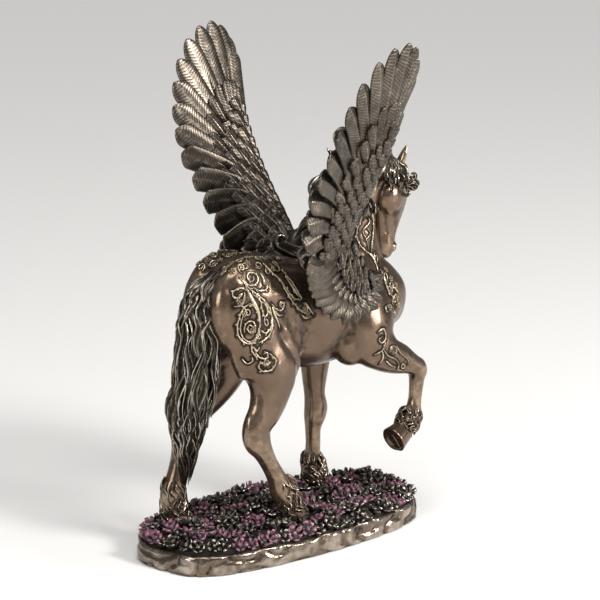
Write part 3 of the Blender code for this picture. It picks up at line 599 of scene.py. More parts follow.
def crest_point(share):
    """A point on the neck's top line, from the withers to the poll."""
    x, _, z, half, _ = spline_at(neck_rows(), 0.12 + 0.80 * share)
    lean = math.radians(20 + 55 * share**2)
    return np.array((x - half * 0.92 * math.cos(lean), 0, z + half * 0.92 * math.sin(lean)))


def hind_leg_rows(side, foot_x, stifle_x, hock_x, hock_lean):
    """A hind leg's stations from the haunch down to the hoof."""
    y = side * HIND_TRACK / 2
    floor = bed_height(foot_x, y)
    reach = LOIN_Z - 0.012 - floor
    inner = side * TRUNK_WIDTH * 0.30
    rows = (
        (1.04, HIP_X, inner * 0.60, 0.26 * THIGH_DEPTH, 0.0050),
        (0.95, HIP_X + 0.1 * (stifle_x - HIP_X), inner * 0.82, 0.44 * THIGH_DEPTH, 0.0100),
        (0.86, HIP_X + 0.3 * (stifle_x - HIP_X), inner * 1.00, 0.48 * THIGH_DEPTH, 0.0110),
        (0.76, HIP_X + 0.6 * (stifle_x - HIP_X), inner * 1.16, 0.41 * THIGH_DEPTH, 0.0105),
        (0.66, stifle_x + 0.0042, y * 0.88, 0.83 * GASKIN_DEPTH, 0.0096),
        (0.57, stifle_x + 0.0038 + 0.12 * (hock_x - stifle_x), y * 0.96, 0.57 * GASKIN_DEPTH, 0.0082),
        (0.49, stifle_x + 0.0020 + 0.50 * (hock_x - stifle_x), y, 0.46 * GASKIN_DEPTH, 0.0063),
        (0.42, hock_x - 0.0010, y, 0.50 * HOCK_DEPTH, 0.0058),
        (0.365, hock_x, y, 0.50 * HOCK_DEPTH, 0.0057),
        (0.315, hock_x + 0.18 * hock_lean, y, 0.62 * CANNON_DEPTH, 0.0050),
        (0.26, hock_x + 0.38 * hock_lean, y, 0.52 * CANNON_DEPTH, 0.0045),
        (0.19, hock_x + 0.64 * hock_lean, y, 0.56 * CANNON_DEPTH, 0.0047),
        (0.12, hock_x + 0.86 * hock_lean, y, 0.54 * FETLOCK_DEPTH, 0.0060),
        (0.06, hock_x + 1.00 * hock_lean + 0.001, y, 0.50 * FETLOCK_DEPTH, 0.0060),
        (0.02, foot_x, y, 0.50 * FETLOCK_DEPTH, 0.0060),
    )
    return [(x, out, floor + share * reach, deep, wide) for share, x, out, deep, wide in rows]


def fore_leg_rows(side, foot_x):
    """A standing foreleg's stations from the shoulder down to the hoof."""
    y = side * FORE_TRACK / 2
    floor = bed_height(foot_x, y)
    reach = CHEST_Z - floor
    elbow_x = SHOULDER_X - 0.009
    rows = (
        (1.02, SHOULDER_X, y * 0.40, 0.24 * SHOULDER_DEPTH, 0.0045),
        (0.94, SHOULDER_X - 0.002, y * 0.62, 0.42 * SHOULDER_DEPTH, 0.0080),
        (0.84, SHOULDER_X - 0.004, y * 0.76, 0.40 * SHOULDER_DEPTH, 0.0090),
        (0.74, elbow_x, y * 0.90, 0.66 * FOREARM_DEPTH, 0.0084),
        (0.63, elbow_x - 0.001, y * 0.96, 0.50 * FOREARM_DEPTH, 0.0071),
        (0.53, foot_x - 0.001, y, 0.40 * FOREARM_DEPTH, 0.0060),
        (0.45, foot_x - 0.001, y, 0.44 * KNEE_DEPTH, 0.0055),
        (0.38, foot_x, y, 0.50 * KNEE_DEPTH, 0.0061),
        (0.33, foot_x - 0.001, y, 0.46 * KNEE_DEPTH, 0.0056),
        (0.28, foot_x - 0.002, y, 0.50 * CANNON_DEPTH, 0.0043),
        (0.20, foot_x - 0.002, y, 0.46 * CANNON_DEPTH, 0.0040),
        (0.14, foot_x - 0.0025, y, 0.50 * CANNON_DEPTH, 0.0044),
        (0.09, foot_x - 0.003, y, 0.48 * FETLOCK_DEPTH, 0.0054),
        (0.04, foot_x - 0.001, y, 0.44 * FETLOCK_DEPTH, 0.0052),
        (0.01, foot_x, y, 0.46 * FETLOCK_DEPTH, 0.0058),
    )
    return [(x, out, floor + share * reach, deep, wide) for share, x, out, deep, wide in rows]


KNEE = np.array((SHOULDER_X + 0.0310, RIGHT * FORE_TRACK / 2 * 1.1, CHEST_Z - 0.0460))
FETLOCK = KNEE + (-0.0035, 0, -0.0265)
CORONET = FETLOCK + (-0.0060, 0, -0.0062)
SOLE_WAY = unit(np.array((-0.90, -0.10, -0.42)))


def add_raised_leg(clay):
    """The right foreleg, bent and lifted in its step."""
    y = RIGHT * FORE_TRACK / 2
    clay.loft(
        (
            (SHOULDER_X, y * 0.40, CHEST_Z + 0.006, 0.26 * SHOULDER_DEPTH, 0.0045),
            (SHOULDER_X, y * 0.64, CHEST_Z - 0.004, 0.44 * SHOULDER_DEPTH, 0.0085),
            (SHOULDER_X - 0.001, y * 0.80, CHEST_Z - 0.016, 0.44 * SHOULDER_DEPTH, 0.0095),
            (SHOULDER_X + 0.001, y * 0.90, CHEST_Z - 0.027, 0.80 * FOREARM_DEPTH, 0.0090),
            (SHOULDER_X + 0.009, y, CHEST_Z - 0.035, 0.56 * FOREARM_DEPTH, 0.0078),
            (SHOULDER_X + 0.019, y * 1.05, CHEST_Z - 0.0395, 0.45 * FOREARM_DEPTH, 0.0066),
            (KNEE[0] - 0.005, KNEE[1], KNEE[2] + 0.003, 0.44 * KNEE_DEPTH, 0.0057),
            (KNEE[0], KNEE[1], KNEE[2], 0.42 * KNEE_DEPTH, 0.0056),
        )
    )
    clay.ball(KNEE + (-0.0005, 0, -0.001), (0.0056, 0.0056, 0.0066))
    clay.loft(
        (
            (KNEE[0] - 0.0005, KNEE[1], KNEE[2], 0.38 * KNEE_DEPTH, 0.0050),
            (KNEE[0] - 0.0010, KNEE[1], KNEE[2] - 0.007, 0.46 * CANNON_DEPTH, 0.0042),
            (KNEE[0] - 0.0020, KNEE[1], KNEE[2] - 0.016, 0.40 * CANNON_DEPTH, 0.0037),
            (KNEE[0] - 0.0030, KNEE[1], KNEE[2] - 0.022, 0.48 * CANNON_DEPTH, 0.0042),
            (*FETLOCK, 0.44 * FETLOCK_DEPTH, 0.0052),
        )
    )
    clay.ball(FETLOCK, (0.0062, 0.0056, 0.0060))
    middle = FETLOCK + 0.6 * (CORONET - FETLOCK)
    clay.loft(((*FETLOCK, 0.0058, 0.0054), (*middle, 0.0050, 0.0048), (*CORONET, 0.0056, 0.0056)))


# Muscle edges, tendons and hollows: points in millimetres, radius, height, both sides
BODY_STROKES = (
    # haunch: groove behind the thigh muscle, flank hollow, point of hip
    (((-47, -17, 143), (-48, -19, 128), (-44, -20, 113), (-38, -19, 98)), 3.0, -1.0, True),
    (((2, -19, 145), (1, -20, 132), (0, -21, 119)), 4.0, -1.1, True),
    (((-6, -16, 148),), 5.0, 0.8, True),
    (((-24, -22, 136),), 7.0, 1.2, True),
    # stifle: the groove down the thigh's front, the fold to the flank and the two swells beside it
    (((-20, -23, 119), (-15, -23, 109), (-9, -22, 100), (-8, -21, 92)), 2.4, -0.9, True),
    (((-14, -22, 117), (-8, -21, 107), (-4, -20, 98)), 2.6, 0.8, True),
    (((2, -20, 118), (0, -19, 106), (-2, -18, 97)), 1.8, -0.9, True),
    (((-26, -24, 104), (-20, -23, 95), (-18, -22, 86)), 3.0, 0.7, True),
    # gaskin: the long muscle, the groove behind it and the tendon to the hock
    (((-24, -24, 92), (-22, -24, 82), (-24, -23, 73)), 2.0, 0.6, True),
    (((-33, -23, 92), (-30, -24, 80), (-31, -23, 70)), 1.6, -0.8, True),
    (((-39, -19, 88), (-38, -20, 76), (-38, -20, 68)), 1.4, 0.6, True),
    # belly and ribs
    (((2, -21, 105), (14, -22, 101), (28, -21, 100)), 3.5, 0.5, True),
    (((9, -21, 130), (8, -22, 112)), 3.0, -0.25, True),
    (((17, -21, 128), (16, -22, 110)), 3.0, -0.25, True),
    # behind the elbow, under the shoulder, between chest muscles
    (((35, -20, 128), (33, -20, 114), (36, -18, 102)), 3.0, -1.2, True),
    (((60, 0, 130), (61, 0, 118), (56, 0, 106)), 2.4, -1.3, False),
    (((52, -14, 133), (57, -13, 121), (56, -14, 110)), 2.4, -0.7, True),
    # neck: groove of the jugular, ridge of the long muscle
    (((70, -7, 178), (66, -9, 162), (62, -12, 147), (61, -12, 136)), 2.2, -0.9, True),
    (((58, -9, 180), (54, -11, 164), (48, -13, 150)), 3.0, 0.5, True),
)


def make_body_clay():
    """Trunk, neck and legs, before they become one skin."""
    clay = Clay()
    add_trunk(clay)
    clay.loft(neck_rows(), sides=30)
    clay.loft(hind_leg_rows(*HIND_RIGHT))
    clay.loft(hind_leg_rows(*HIND_LEFT))
    clay.loft(fore_leg_rows(*FORE_LEFT))
    add_raised_leg(clay)
    return clay


def head_point(forward, out, share):
    """A point of the head, turned about the poll: forward of its axis, out to +Y, share down."""
    return np.array(
        (
            POLL.x + forward * math.cos(HEAD_TURN) - out * math.sin(HEAD_TURN),
            forward * math.sin(HEAD_TURN) + out * math.cos(HEAD_TURN),
            POLL.z + 0.003 - share * HEAD_LENGTH,
        )
    )


def make_head_clay():
    """Head, cheeks, brows, nostrils and ears, before they become one skin."""
    clay = Clay()
    across = (-math.sin(HEAD_TURN), math.cos(HEAD_TURN), 0)
    stations = []
    for share, forward, depth, width in HEAD:
        centre = head_point(forward, 0, share)
        stations.append((*centre, depth * HEAD_DEPTH / 2, width * HEAD_WIDTH / 2))
    clay.loft(stations, sides=32, across=across)
    for side in (LEFT, RIGHT):
        cheek = head_point(-0.20 * HEAD_DEPTH, side * 0.26 * HEAD_WIDTH, 0.36)
        clay.ball(cheek, (0.0085, 0.0050, 0.0100))
        brow = head_point(0.24 * HEAD_DEPTH, side * 0.36 * HEAD_WIDTH, 0.22)
        clay.ball(brow, (0.0036, 0.0024, 0.0030))
        nostril = head_point(-0.06 * HEAD_DEPTH, side * 0.20 * HEAD_WIDTH, 0.89)
        clay.ball(nostril, (0.0032, 0.0024, 0.0030))
        root = head_point(0.10 * HEAD_DEPTH, side * 0.24 * HEAD_WIDTH, 0.08)
        rows = []
        for share, size in ((0, 0.8), (0.3, 1.0), (0.6, 0.8), (0.85, 0.45), (1, 0.12)):
            centre = root + np.array((0.28 * share, side * 0.22 * share, share)) * 0.0125
            rows.append((*centre, 0.0027 * size * 0.75, 0.0027 * size))
        clay.loft(rows, sides=12)
    return clay


def make_eyes(materials):
    """The two eyeballs in their sockets."""
    clay = Clay()
    for side in (LEFT, RIGHT):
        centre = head_point(0.21 * HEAD_DEPTH, side * 0.40 * HEAD_WIDTH, 0.222)
        clay.ball(centre, (0.0019, 0.0012, 0.0016), 20)
    return clay.piece("eyes", materials)


def local_head(points):
    """Head places (forward share of its depth, out share of its width, share down) as points."""
    return [1000 * head_point(f * HEAD_DEPTH, o * HEAD_WIDTH, s) for f, o, s in points]


def head_strokes():
    """Eye sockets and lids, cheek bones and hollows, nostrils, mouth and jaw."""
    strokes = []
    for side in (LEFT, RIGHT):
        for line, radius, height in (
            (((0.22, 0.44, 0.20), (0.22, 0.44, 0.245)), 1.9, -1.0),
            (((0.30, 0.40, 0.15), (0.16, 0.48, 0.165), (0.04, 0.46, 0.22)), 0.9, 0.7),
            (((0.10, 0.46, 0.30), (0.04, 0.40, 0.46), (0.0, 0.34, 0.58)), 1.2, 0.6),
            (((-0.16, 0.44, 0.52), (-0.06, 0.42, 0.60), (0.0, 0.30, 0.76)), 1.8, -0.7),
            (((0.02, 0.32, 0.90), (-0.06, 0.34, 0.93)), 0.9, -1.5),
            (((0.10, 0.30, 0.88), (0.0, 0.40, 0.86), (-0.12, 0.36, 0.90)), 0.7, 0.45),
            (((-0.36, 0.30, 0.86), (-0.22, 0.36, 0.93), (-0.02, 0.34, 0.985)), 0.6, -0.7),
            (((-0.42, 0.30, 0.48), (-0.34, 0.26, 0.60), (-0.28, 0.24, 0.72)), 1.3, -0.5),
        ):
            line = [(f, side * o, s) for f, o, s in line]
            strokes.append((local_head(line), radius, height, False))
    return strokes


# Scrollwork on the skin

# Stems, leaves and rings on the haunch, neck, chest and forearm. Places are in millimetres,
# forward and up, seen from the side: half thickness, whether it swells as a leaf, its points
SCROLLS = (
    # haunch: the hooked stem, its outer branch and the leaves inside it
    (0.55, False, ((-41, 148), (-37, 142), (-31, 137), (-26, 131), (-25, 124), (-29, 119), (-33, 121))),
    (0.48, False, ((-25, 127), (-25.5, 121), (-29, 116.5), (-34, 114.5))),
    (0.95, True, ((-39, 143), (-36.5, 137), (-33, 130), (-32, 123.5))),
    (0.50, False, ((-36, 139.5), (-32, 136), (-31, 131), (-29, 127), (-26, 130.5))),
    (0.70, True, ((-30, 135), (-27.5, 131.5), (-27.5, 127.5))),
    (0.42, False, ((-38.5, 135), (-35, 133.5), (-32.8, 128), (-33.5, 120), (-36.5, 114.5))),
    # haunch: acanthus behind the stem, curl and long leaf before it
    (0.48, False, ((-38.5, 141.5), (-42, 143), (-45.5, 141), (-45, 138), (-43, 139))),
    (0.75, True, ((-41, 140.5), (-43.5, 138.5), (-44.5, 136))),
    (0.60, True, ((-40, 141), (-41, 137), (-43, 134.5), (-46, 134))),
    (0.45, False, ((-24.5, 133), (-21, 129.5), (-17, 129), (-16, 132), (-18.5, 133), (-19, 131))),
    (0.70, True, ((-24, 131.5), (-22.5, 127), (-19.5, 119))),
    (0.55, True, ((-23, 129.5), (-20, 126.5), (-16.5, 126))),
    # haunch: the top curl's tail
    (0.50, False, ((-35, 142.5), (-31, 140.5), (-27, 141), (-26, 143.5), (-28.5, 144.5))),
    (0.60, True, ((-29, 149), (-28, 146), (-28.5, 143))),
    # band from the back down to the flank: two edges, a leaf between them, and its end flower
    (0.52, False, ((-25, 153), (-21, 148), (-16.5, 144), (-14, 138), (-10, 132), (-4, 126))),
    (0.50, False, ((-12.5, 148), (-9.5, 143), (-5.5, 136), (-3.5, 132), (-9.5, 134), (-14.5, 141))),
    (0.80, True, ((-12, 145), (-9, 140), (-6, 134))),
    (0.42, False, ((-20, 152), (-18, 149), (-14.5, 147.5), (-13.5, 149.5), (-15.5, 150.5))),
    (0.42, False, ((-7, 129), (-3, 125.5), (1, 125), (0.5, 128.5), (-2, 130))),
    (0.55, True, ((-0.5, 130), (2, 127), (5.5, 122))),
    (0.55, True, ((-3, 124), (0.5, 121.5), (5, 122.5))),
    # lower flower on the thigh
    (0.45, False, ((-37.5, 115), (-37.5, 111), (-34.5, 106))),
    (0.40, False, ((-41, 106.5), (-39, 104), (-37, 105.5), (-37.5, 107.5))),
    (0.42, False, ((-36, 110), (-33, 106.5), (-29.5, 106.5), (-29.5, 109), (-31.5, 108.5))),
    (0.48, False, ((-28, 108.5), (-25, 104.5), (-27, 100.5), (-31.5, 99.5), (-34.5, 102.5), (-32, 104.5))),
    (0.55, True, ((-37, 113), (-35, 110.5), (-33.5, 112.5))),
    (0.60, True, ((-33, 104), (-30, 103), (-27.5, 104.5))),
    # neck: a long lattice that ends in a leaf on the shoulder's edge
    (0.48, False, ((51, 172), (47, 167), (43, 159), (45, 152), (51, 147))),
    (0.48, False, ((53, 172), (55.5, 162), (53.5, 154), (52, 148))),
    (0.36, False, ((50, 168), (52, 164), (47, 160), (49, 155), (50, 150))),
    (0.36, False, ((53.5, 165), (50, 162), (52, 158), (48, 155))),
    (0.90, True, ((50, 148), (54, 144), (53, 138))),
    # chest
    (0.52, False, ((56, 139), (58, 130), (61, 124.5), (66.5, 123.5))),
    (0.40, False, ((57.5, 129.5), (61, 129), (63, 126.5), (59, 126))),
    (0.60, True, ((64, 128.5), (67.5, 125), (67, 119.5))),
    (0.42, False, ((60, 118), (57, 120.5), (53.5, 120), (53.5, 117.5), (56, 117.5))),
    # raised forearm
    (0.46, False, ((45.5, 108), (49, 109.5), (51, 105.5), (48.5, 102), (46, 104), (48.5, 105.5))),
    (0.44, False, ((50.5, 102.5), (48, 98), (43.5, 96))),
    (0.55, True, ((48, 98), (49, 94), (47.5, 90))),
    (0.40, False, ((49, 98.5), (52, 94.5), (57, 92), (60.5, 88.5))),
    (0.40, False, ((53, 96), (54, 99), (57.5, 98.5), (57.5, 95.5), (55, 95))),
    (0.40, False, ((58.5, 98.5), (61, 94.5), (66, 90.5), (66.5, 87.5))),
    (0.50, True, ((60, 88.5), (60.5, 85.5), (64, 84.5))),
    (0.50, True, ((51, 92), (54.5, 89), (59, 87))),
)
# Spirals and rings: forward, up, half length, half height, start in degrees, turns, how far it winds in
SPIRALS = (
    (-38.5, 124.5, 5.7, 10.0, 95, 1.0, 0.0, 0.50),
    (-38.3, 124.0, 4.5, 8.4, 100, 0.62, 0.0, 0.38),
    (-37.6, 122.5, 3.5, 4.3, 210, -1.7, 0.85, 0.45),
    (-39.3, 130.3, 1.9, 2.2, 200, -1.3, 0.8, 0.38),
    (-34.8, 147.2, 4.9, 4.2, 165, 1.6, 0.80, 0.48),
    (-29.8, 104.6, 1.7, 1.9, 60, 1.2, 0.7, 0.36),
    (-7.4, 137.5, 1.5, 2.2, 90, 1.2, 0.7, 0.34),
    (-17.2, 131.0, 1.6, 1.7, 270, 1.2, 0.6, 0.36),
    (-33.5, 118.0, 1.6, 2.0, 60, 1.2, 0.7, 0.34),
    (-28.5, 124.5, 1.4, 2.4, 120, 1.1, 0.6, 0.34),
    (-41.5, 131.0, 1.6, 2.6, 250, 1.2, 0.6, 0.36),
    (-23.5, 149.0, 2.2, 1.8, 20, 1.4, 0.7, 0.38),
    (-28.5, 152.5, 2.4, 1.6, 200, 1.4, 0.7, 0.38),
    (-36.0, 153.0, 2.4, 1.8, 80, 1.4, 0.7, 0.38),
    (58.5, 135.0, 2.2, 3.0, 100, 1.4, 0.7, 0.40),
    (62.0, 129.5, 2.2, 2.4, 250, 1.4, 0.7, 0.40),
    (65.0, 121.5, 1.8, 2.4, 30, 1.4, 0.7, 0.40),
    (63.5, 114.5, 2.2, 2.4, 200, 1.4, 0.7, 0.40),
    (55.5, 144.5, 1.8, 3.0, 90, 1.3, 0.7, 0.38),
    (62.5, 121.0, 2.0, 1.9, 90, 1.4, 0.7, 0.38),
    (55.0, 97.0, 1.5, 1.6, 30, 1.3, 0.7, 0.34),
    (63.5, 87.0, 1.7, 1.7, 90, 1.3, 0.7, 0.34),
)
# Small flowers, seen from the side (forward, up) and along the top of the croup (forward, out)
SIDE_FLOWERS = ((66, 129), (67.5, 123.5), (67.5, 118), (65, 113), (62.5, 133), (61, 137.5),
                (-36.5, 121.5), (-43.5, 136.5), (-26.5, 143.0), (-1.0, 127.0), (-30.5, 103.5), (-19.0, 149.5),
                (61.0, 126.5), (57.0, 119.0), (55.5, 96.8), (1.5, 123.8))
TOP_FLOWERS = ((-46, 4), (-41, 9), (-36, 5), (-43, 13.5), (-31, 11), (-26, 6), (-34, 14.5), (-21, 12),
               (-15, 8))
# Curls along the top of the croup: forward, out, half size, start in degrees
TOP_CURLS = ((-40, 5, 2.4, 20), (-36, 10.5, 2.6, 200), (-30, 6, 2.4, 90), (-26, 12, 2.4, 300),
             (-20, 8, 2.2, 150), (-45, 9, 2.0, 250), (-14, 12, 2.0, 30), (-38, 15, 2.0, 120),
             (-9, 8, 1.8, 200))


def wound(size_x, size_y, start, turns, fade):
    """Places round a middle on a spiral that winds in: fade 0 is a ring."""
    share = np.linspace(0, 1, max(6, int(abs(turns) * 13)))
    turn = math.radians(start) + turns * 2 * math.pi * share
    left = 1 - fade * share
    return np.stack((size_x * left * np.cos(turn), size_y * left * np.sin(turn)), axis=-1)


def cast_side(tree, side, forward, up):
    """The skin's point that is seen from the side at this place, in millimetres."""
    start = Vector((forward / 1000, side * CAST_OUT, up / 1000))
    spot = tree.ray_cast(start, Vector((0, -side, 0)))[0]
    return spot if spot is not None else tree.find_nearest(start * 0.5 + Vector((forward, 0, up)) / 2000)[0]


def cast_top(tree, forward, out):
    """The skin's point that is seen from above at this place, in millimetres."""
    start = Vector((forward / 1000, out / 1000, CAST_UP))
    return tree.ray_cast(start, Vector((0, 0, -1)))[0]


def scroll(clay, tree, line, radius, leaf, steps=4, sides=8):
    """A raised line over the skin with tapered ends; a leaf swells and has a ridge along its middle."""
    fine = spline_rows(line, steps)
    found = [tree.find_nearest(Vector(point))[:2] for point in fine]
    spots = np.array([spot for spot, _ in found])
    along = unit(np.gradient(spots, axis=0))
    up = np.array([up for _, up in found])
    up = unit(up - along * np.sum(up * along, axis=1, keepdims=True))
    side = np.cross(along, up)
    share = np.linspace(0, 1, len(fine))
    if leaf:
        wide = radius / 1000 * (0.12 + np.sin(math.pi * share**0.75) * 1.10)
        high = 0.00040 * np.minimum(1, 0.35 + 2.2 * np.sin(math.pi * share))
    else:
        wide = 0.80 * radius / 1000 * np.interp(share, (0, 0.15, 0.5, 0.85, 1), (0.50, 1.0, 1.0, 0.75, 0.40))
        high = wide * 1.25
    turn = once_round(sides)
    lift = np.maximum(np.sin(turn), -0.5) * (1 + 0.5 * (np.abs(turn - math.pi / 2) < 0.1) * leaf)
    rings = (
        spots[:, None]
        + side[:, None] * (wide[:, None] * np.cos(turn))[..., None]
        + up[:, None] * (high[:, None] * (lift + 0.15))[..., None]
    )
    clay.tube(rings, np.broadcast_to(0.45 + 0.5 * np.sin(turn), (len(fine), sides)), 0.5)
    return spots


def add_leaflets(clay, tree, spots, size, chance):
    """Small comma-shaped leaves that branch off a stem to both sides."""
    length = arc(spots)
    along = unit(np.gradient(spots, axis=0))
    made = []
    place_at, turn = 0.0018, chance.choice((-1, 1))
    while place_at < length[-1] - 0.001:
        spot = np.array([np.interp(place_at, length, column) for column in spots.T])
        ahead = unit(np.array([np.interp(place_at, length, column) for column in along.T]))
        up = np.array(tree.find_nearest(Vector(spot))[1])
        aside = unit(np.cross(up, ahead)) * turn
        long = chance.uniform(0.0013, 0.0021) * size
        steps = np.linspace(0, 1, 5)[:, None]
        out = np.sin(2.4 * steps)
        line = spot + ahead * long * (1.25 * steps - 0.75 * steps**3) + aside * long * 0.38 * out
        made.append(scroll(clay, tree, line, 0.26 * size, True, 1, 6))
        place_at += chance.uniform(0.0020, 0.0030)
        turn = -turn
    return made


def rosette(clay, tree, spot):
    """Five round petals and a button on the skin."""
    middle, up = map(np.array, tree.find_nearest(Vector(spot))[:2])
    side = unit(np.cross(up, (0.3, 0.2, 1.0)))
    front = np.cross(up, side)
    size = 0.0009
    for n in range(5):
        turn = 2 * math.pi * n / 5
        place = middle + size * 1.35 * (side * math.cos(turn) + front * math.sin(turn)) + up * 0.0002
        clay.ball(place, (size * 0.72,) * 3, 8)
    clay.ball(middle + up * 0.0004, (size * 0.7,) * 3, 8)
    return middle


def scroll_lines(tree, side):
    """Every scroll of one side: its points on the skin, its half thickness, and whether it is a leaf."""
    lines = []
    for radius, leaf, places in SCROLLS:
        lines.append(([cast_side(tree, side, *place) for place in places], radius, leaf))
    for forward, up, wide, tall, start, turns, fade, radius in SPIRALS:
        places = wound(wide, tall, start, turns, fade) + (forward, up)
        lines.append(([cast_side(tree, side, *place) for place in places], radius, False))
    for forward, out, size, start in TOP_CURLS:
        places = wound(size, size, start, 1.35, 0.75) + (forward, out)
        lines.append(([cast_top(tree, x, side * y) for x, y in places], 0.42, False))
    return lines


def make_scrollwork(body, materials):
    """Scrolls, leaves and small flowers on the horse's skin, which is sunk and darkened round them."""
    clay = Clay()
    tree = BVHTree.FromObject(body, bpy.context.evaluated_depsgraph_get())
    drawn = []
    for side in (LEFT, RIGHT):
        chance = random.Random(41)
        for line, radius, leaf in scroll_lines(tree, side):
            spots = scroll(clay, tree, np.array(line), radius, leaf)
            drawn.append(spots)
            if not leaf and radius > 0.41:
                drawn += add_leaflets(clay, tree, spots, 1.35 if radius > 0.47 else 0.95, chance)
        spots = [cast_side(tree, side, *place) for place in SIDE_FLOWERS]
        spots += [cast_top(tree, x, side * y) for x, y in TOP_FLOWERS]
        for spot in spots:
            drawn.append(np.array([rosette(clay, tree, spot)] * 2))
    sink_skin(body.data, drawn)
    return clay.piece("scrollwork", materials)


def sink_skin(mesh, drawn):
    """Sinks the skin a little along the drawn lines, and marks it as recess."""
    points, away = positions(mesh), normals(mesh)
    tree = KDTree(sum(len(line) for line in drawn))
    for number, spot in enumerate(np.vstack(drawn)):
        tree.insert(Vector(spot), number)
    tree.balance()
    far = np.array([tree.find(Vector(point))[2] for point in points])
    near = np.exp(-((far / SCROLL_HALO) ** 2))
    marks = np.empty(len(points), np.float32)
    mesh.attributes["relief"].data.foreach_get("value", marks)
    marks = np.clip(marks - SCROLL_SHADE * near, 0, 1)
    mesh.attributes["relief"].data.foreach_set("value", marks.astype(np.float32))
    place(mesh, points - away * (SCROLL_SINK * near)[:, None])


# Feathers

BOW = spline_rows(WING_BOW, 12)
# Places across a feather, from one edge over the shaft to the other
COLUMNS = np.array((-1, -0.90, -0.66, -0.38, -0.13, 0, 0.13, 0.38, 0.66, 0.90, 1))
SCALE_COLUMNS = np.array((-1, -0.86, -0.48, -0.15, 0, 0.15, 0.48, 0.86, 1))
# Width at the root, where the widest part begins, where the rounding of the tip begins, places across
FLIGHT = (0.60, 0.40, 0.80, COLUMNS)
SCALE = (0.55, 0.45, 0.52, SCALE_COLUMNS)
LANCE = (0.55, 0.30, 0.22, SCALE_COLUMNS)
# Rows of coverts: count, first and last share of the row, where its feathers start and end between
# root and tip, width, lift in millimetres, and whether they are scales
COVERT_ROWS = (
    (11, 0.02, 1.00, 0.02, 0.56, 0.80, 1.7, False),
    (13, 0.40, 1.00, -0.02, 0.42, 0.46, 2.5, False),
    (8, 0.02, 0.60, 0.36, 0.56, 0.66, 3.0, True),
)
FLIGHT_FEATHERS, EDGE_FEATHERS = 15, 42
ARM_SCALE_COLUMNS, ARM_SCALE_ROWS = 5, 11
CAPE_FEATHERS, CAPE_COVERTS = 14, 16
CAPE_SCALE_ROWS, CAPE_SCALE_COLUMNS = 12, 13
# Rows of points from one barb line to the next
BARB_ROWS = 3


def wing_drawn(rise):
    """How much the wing's front edge draws in at a share of its height."""
    return np.interp(rise, *np.transpose(WING_DRAWN))


def wing_points(side, back, rise, lift=0.0):
    """Points of a wing: shares back from its leading edge and up, and a lift off its surface."""
    back, rise = np.asarray(back, float), np.asarray(rise, float)
    out = np.interp(rise, BOW[:, 0], BOW[:, 1]) * WING_SPREAD + lift
    out = out + WING_FLARE * back * np.clip(1 - rise / 0.33, 0, 1)
    drawn = wing_drawn(rise) * np.clip(1 - back, 0, 1.15)
    out = out - WING_DRAW[1] * drawn
    x = WITHERS_X - 0.0030 - back * WING_CHORD - WING_DRAW[0] * drawn
    return np.stack((x, side * out, LOIN_Z - 0.001 + rise * WING_HEIGHT), axis=-1)


def feather(clay, path, away, width, thick, shape, pitch, depth, tint, roll, cup=0.10, point=0.55, painted_shade=0.0):
    """A blade along a path, with a shaft ridge, a beaded edge, and barb lines that run out from the shaft.

    path is a line of points, and away the direction that the upper face looks in.
    """
    length = arc(path)
    rows = max(6, int(round(length[-1] / (pitch / BARB_ROWS))))
    share = np.linspace(0, 1, rows + 1)
    root_width, widest, rounding, columns = shape
    size = root_width + (1 - root_width) * np.sin(np.clip(share / widest, 0, 1) * math.pi / 2)
    size = size * (1 - np.clip((share - rounding) / (1 - rounding), 0, 0.9985) ** 2) ** point
    half = np.maximum(size, 0.02) * width / 2
    u = columns[None, :]
    aside = u * half[:, None]
    slant = 0.85 * np.abs(aside) * (np.minimum(1, (1 - share) / 0.28) * np.minimum(1, share / 0.12))[:, None]
    places = share[:, None] * length[-1] + slant

    def along_path(values):
        flat = np.stack([np.interp(places.reshape(-1), length, column) for column in values.T], axis=-1)
        return flat.reshape(*places.shape, 3)

    centre = along_path(path)
    tangent = unit(along_path(unit(np.gradient(path, axis=0))))
    across = unit(np.cross(tangent, away))
    up = np.cross(across, tangent)
    across, up = (
        across * math.cos(roll) + up * math.sin(roll),
        up * math.cos(roll) - across * math.sin(roll),
    )
    groove = 0.5 + 0.5 * np.cos(2 * math.pi * np.arange(rows + 1) / BARB_ROWS)[:, None]
    shaft = np.exp(-((u / 0.11) ** 2))
    bead = np.exp(-(((np.abs(u) - 0.90) / 0.10) ** 2))
    on_vane = (1 - shaft) * np.minimum(1, share / 0.10)[:, None] * (1 - 0.6 * bead)
    relief = 0.53 + 0.44 * (groove - 0.5) * on_vane + 0.34 * shaft * (1 - 0.5 * share[:, None])
    relief = relief + 0.16 * bead * share[:, None] + 0.10 * share[:, None]
    # The root is darkened where the next feather lies over it, as dark wax and painted shade; the last term
    # darkens the whole feather further as painted shade
    relief = relief - 0.45 * np.clip(1 - share / 0.25, 0, 1)[:, None] - painted_shade
    body = thick / 2 * (0.50 + 0.50 * (1 - np.abs(u) ** 2.4)) * (0.45 + 0.55 * size[:, None])
    height = body + depth * (groove - 0.5) * on_vane + 0.15 * thick * shaft + 0.10 * thick * bead
    height = height * (0.30 + 0.70 * (np.abs(u) < 0.99))
    sag = -cup * half[:, None] * u**2
    top = centre + across * aside[..., None] + up * (height + sag)[..., None]
    low = centre + across * aside[..., None] + up * (sag - height * (np.abs(u) < 0.99))[..., None]
    rings = np.concatenate((top, low[:, -2:0:-2]), axis=1)
    marks = np.concatenate((relief, relief[:, -2:0:-2]), axis=1)
    clay.tube(rings, np.clip(marks, 0, 1), tint)


def wing_ends(share):
    """Where a wing's feather begins and ends, for its share of the row from the lowest up."""
    return spline_at(ROOT_LINE, share), spline_at(TIP_LINE, share)


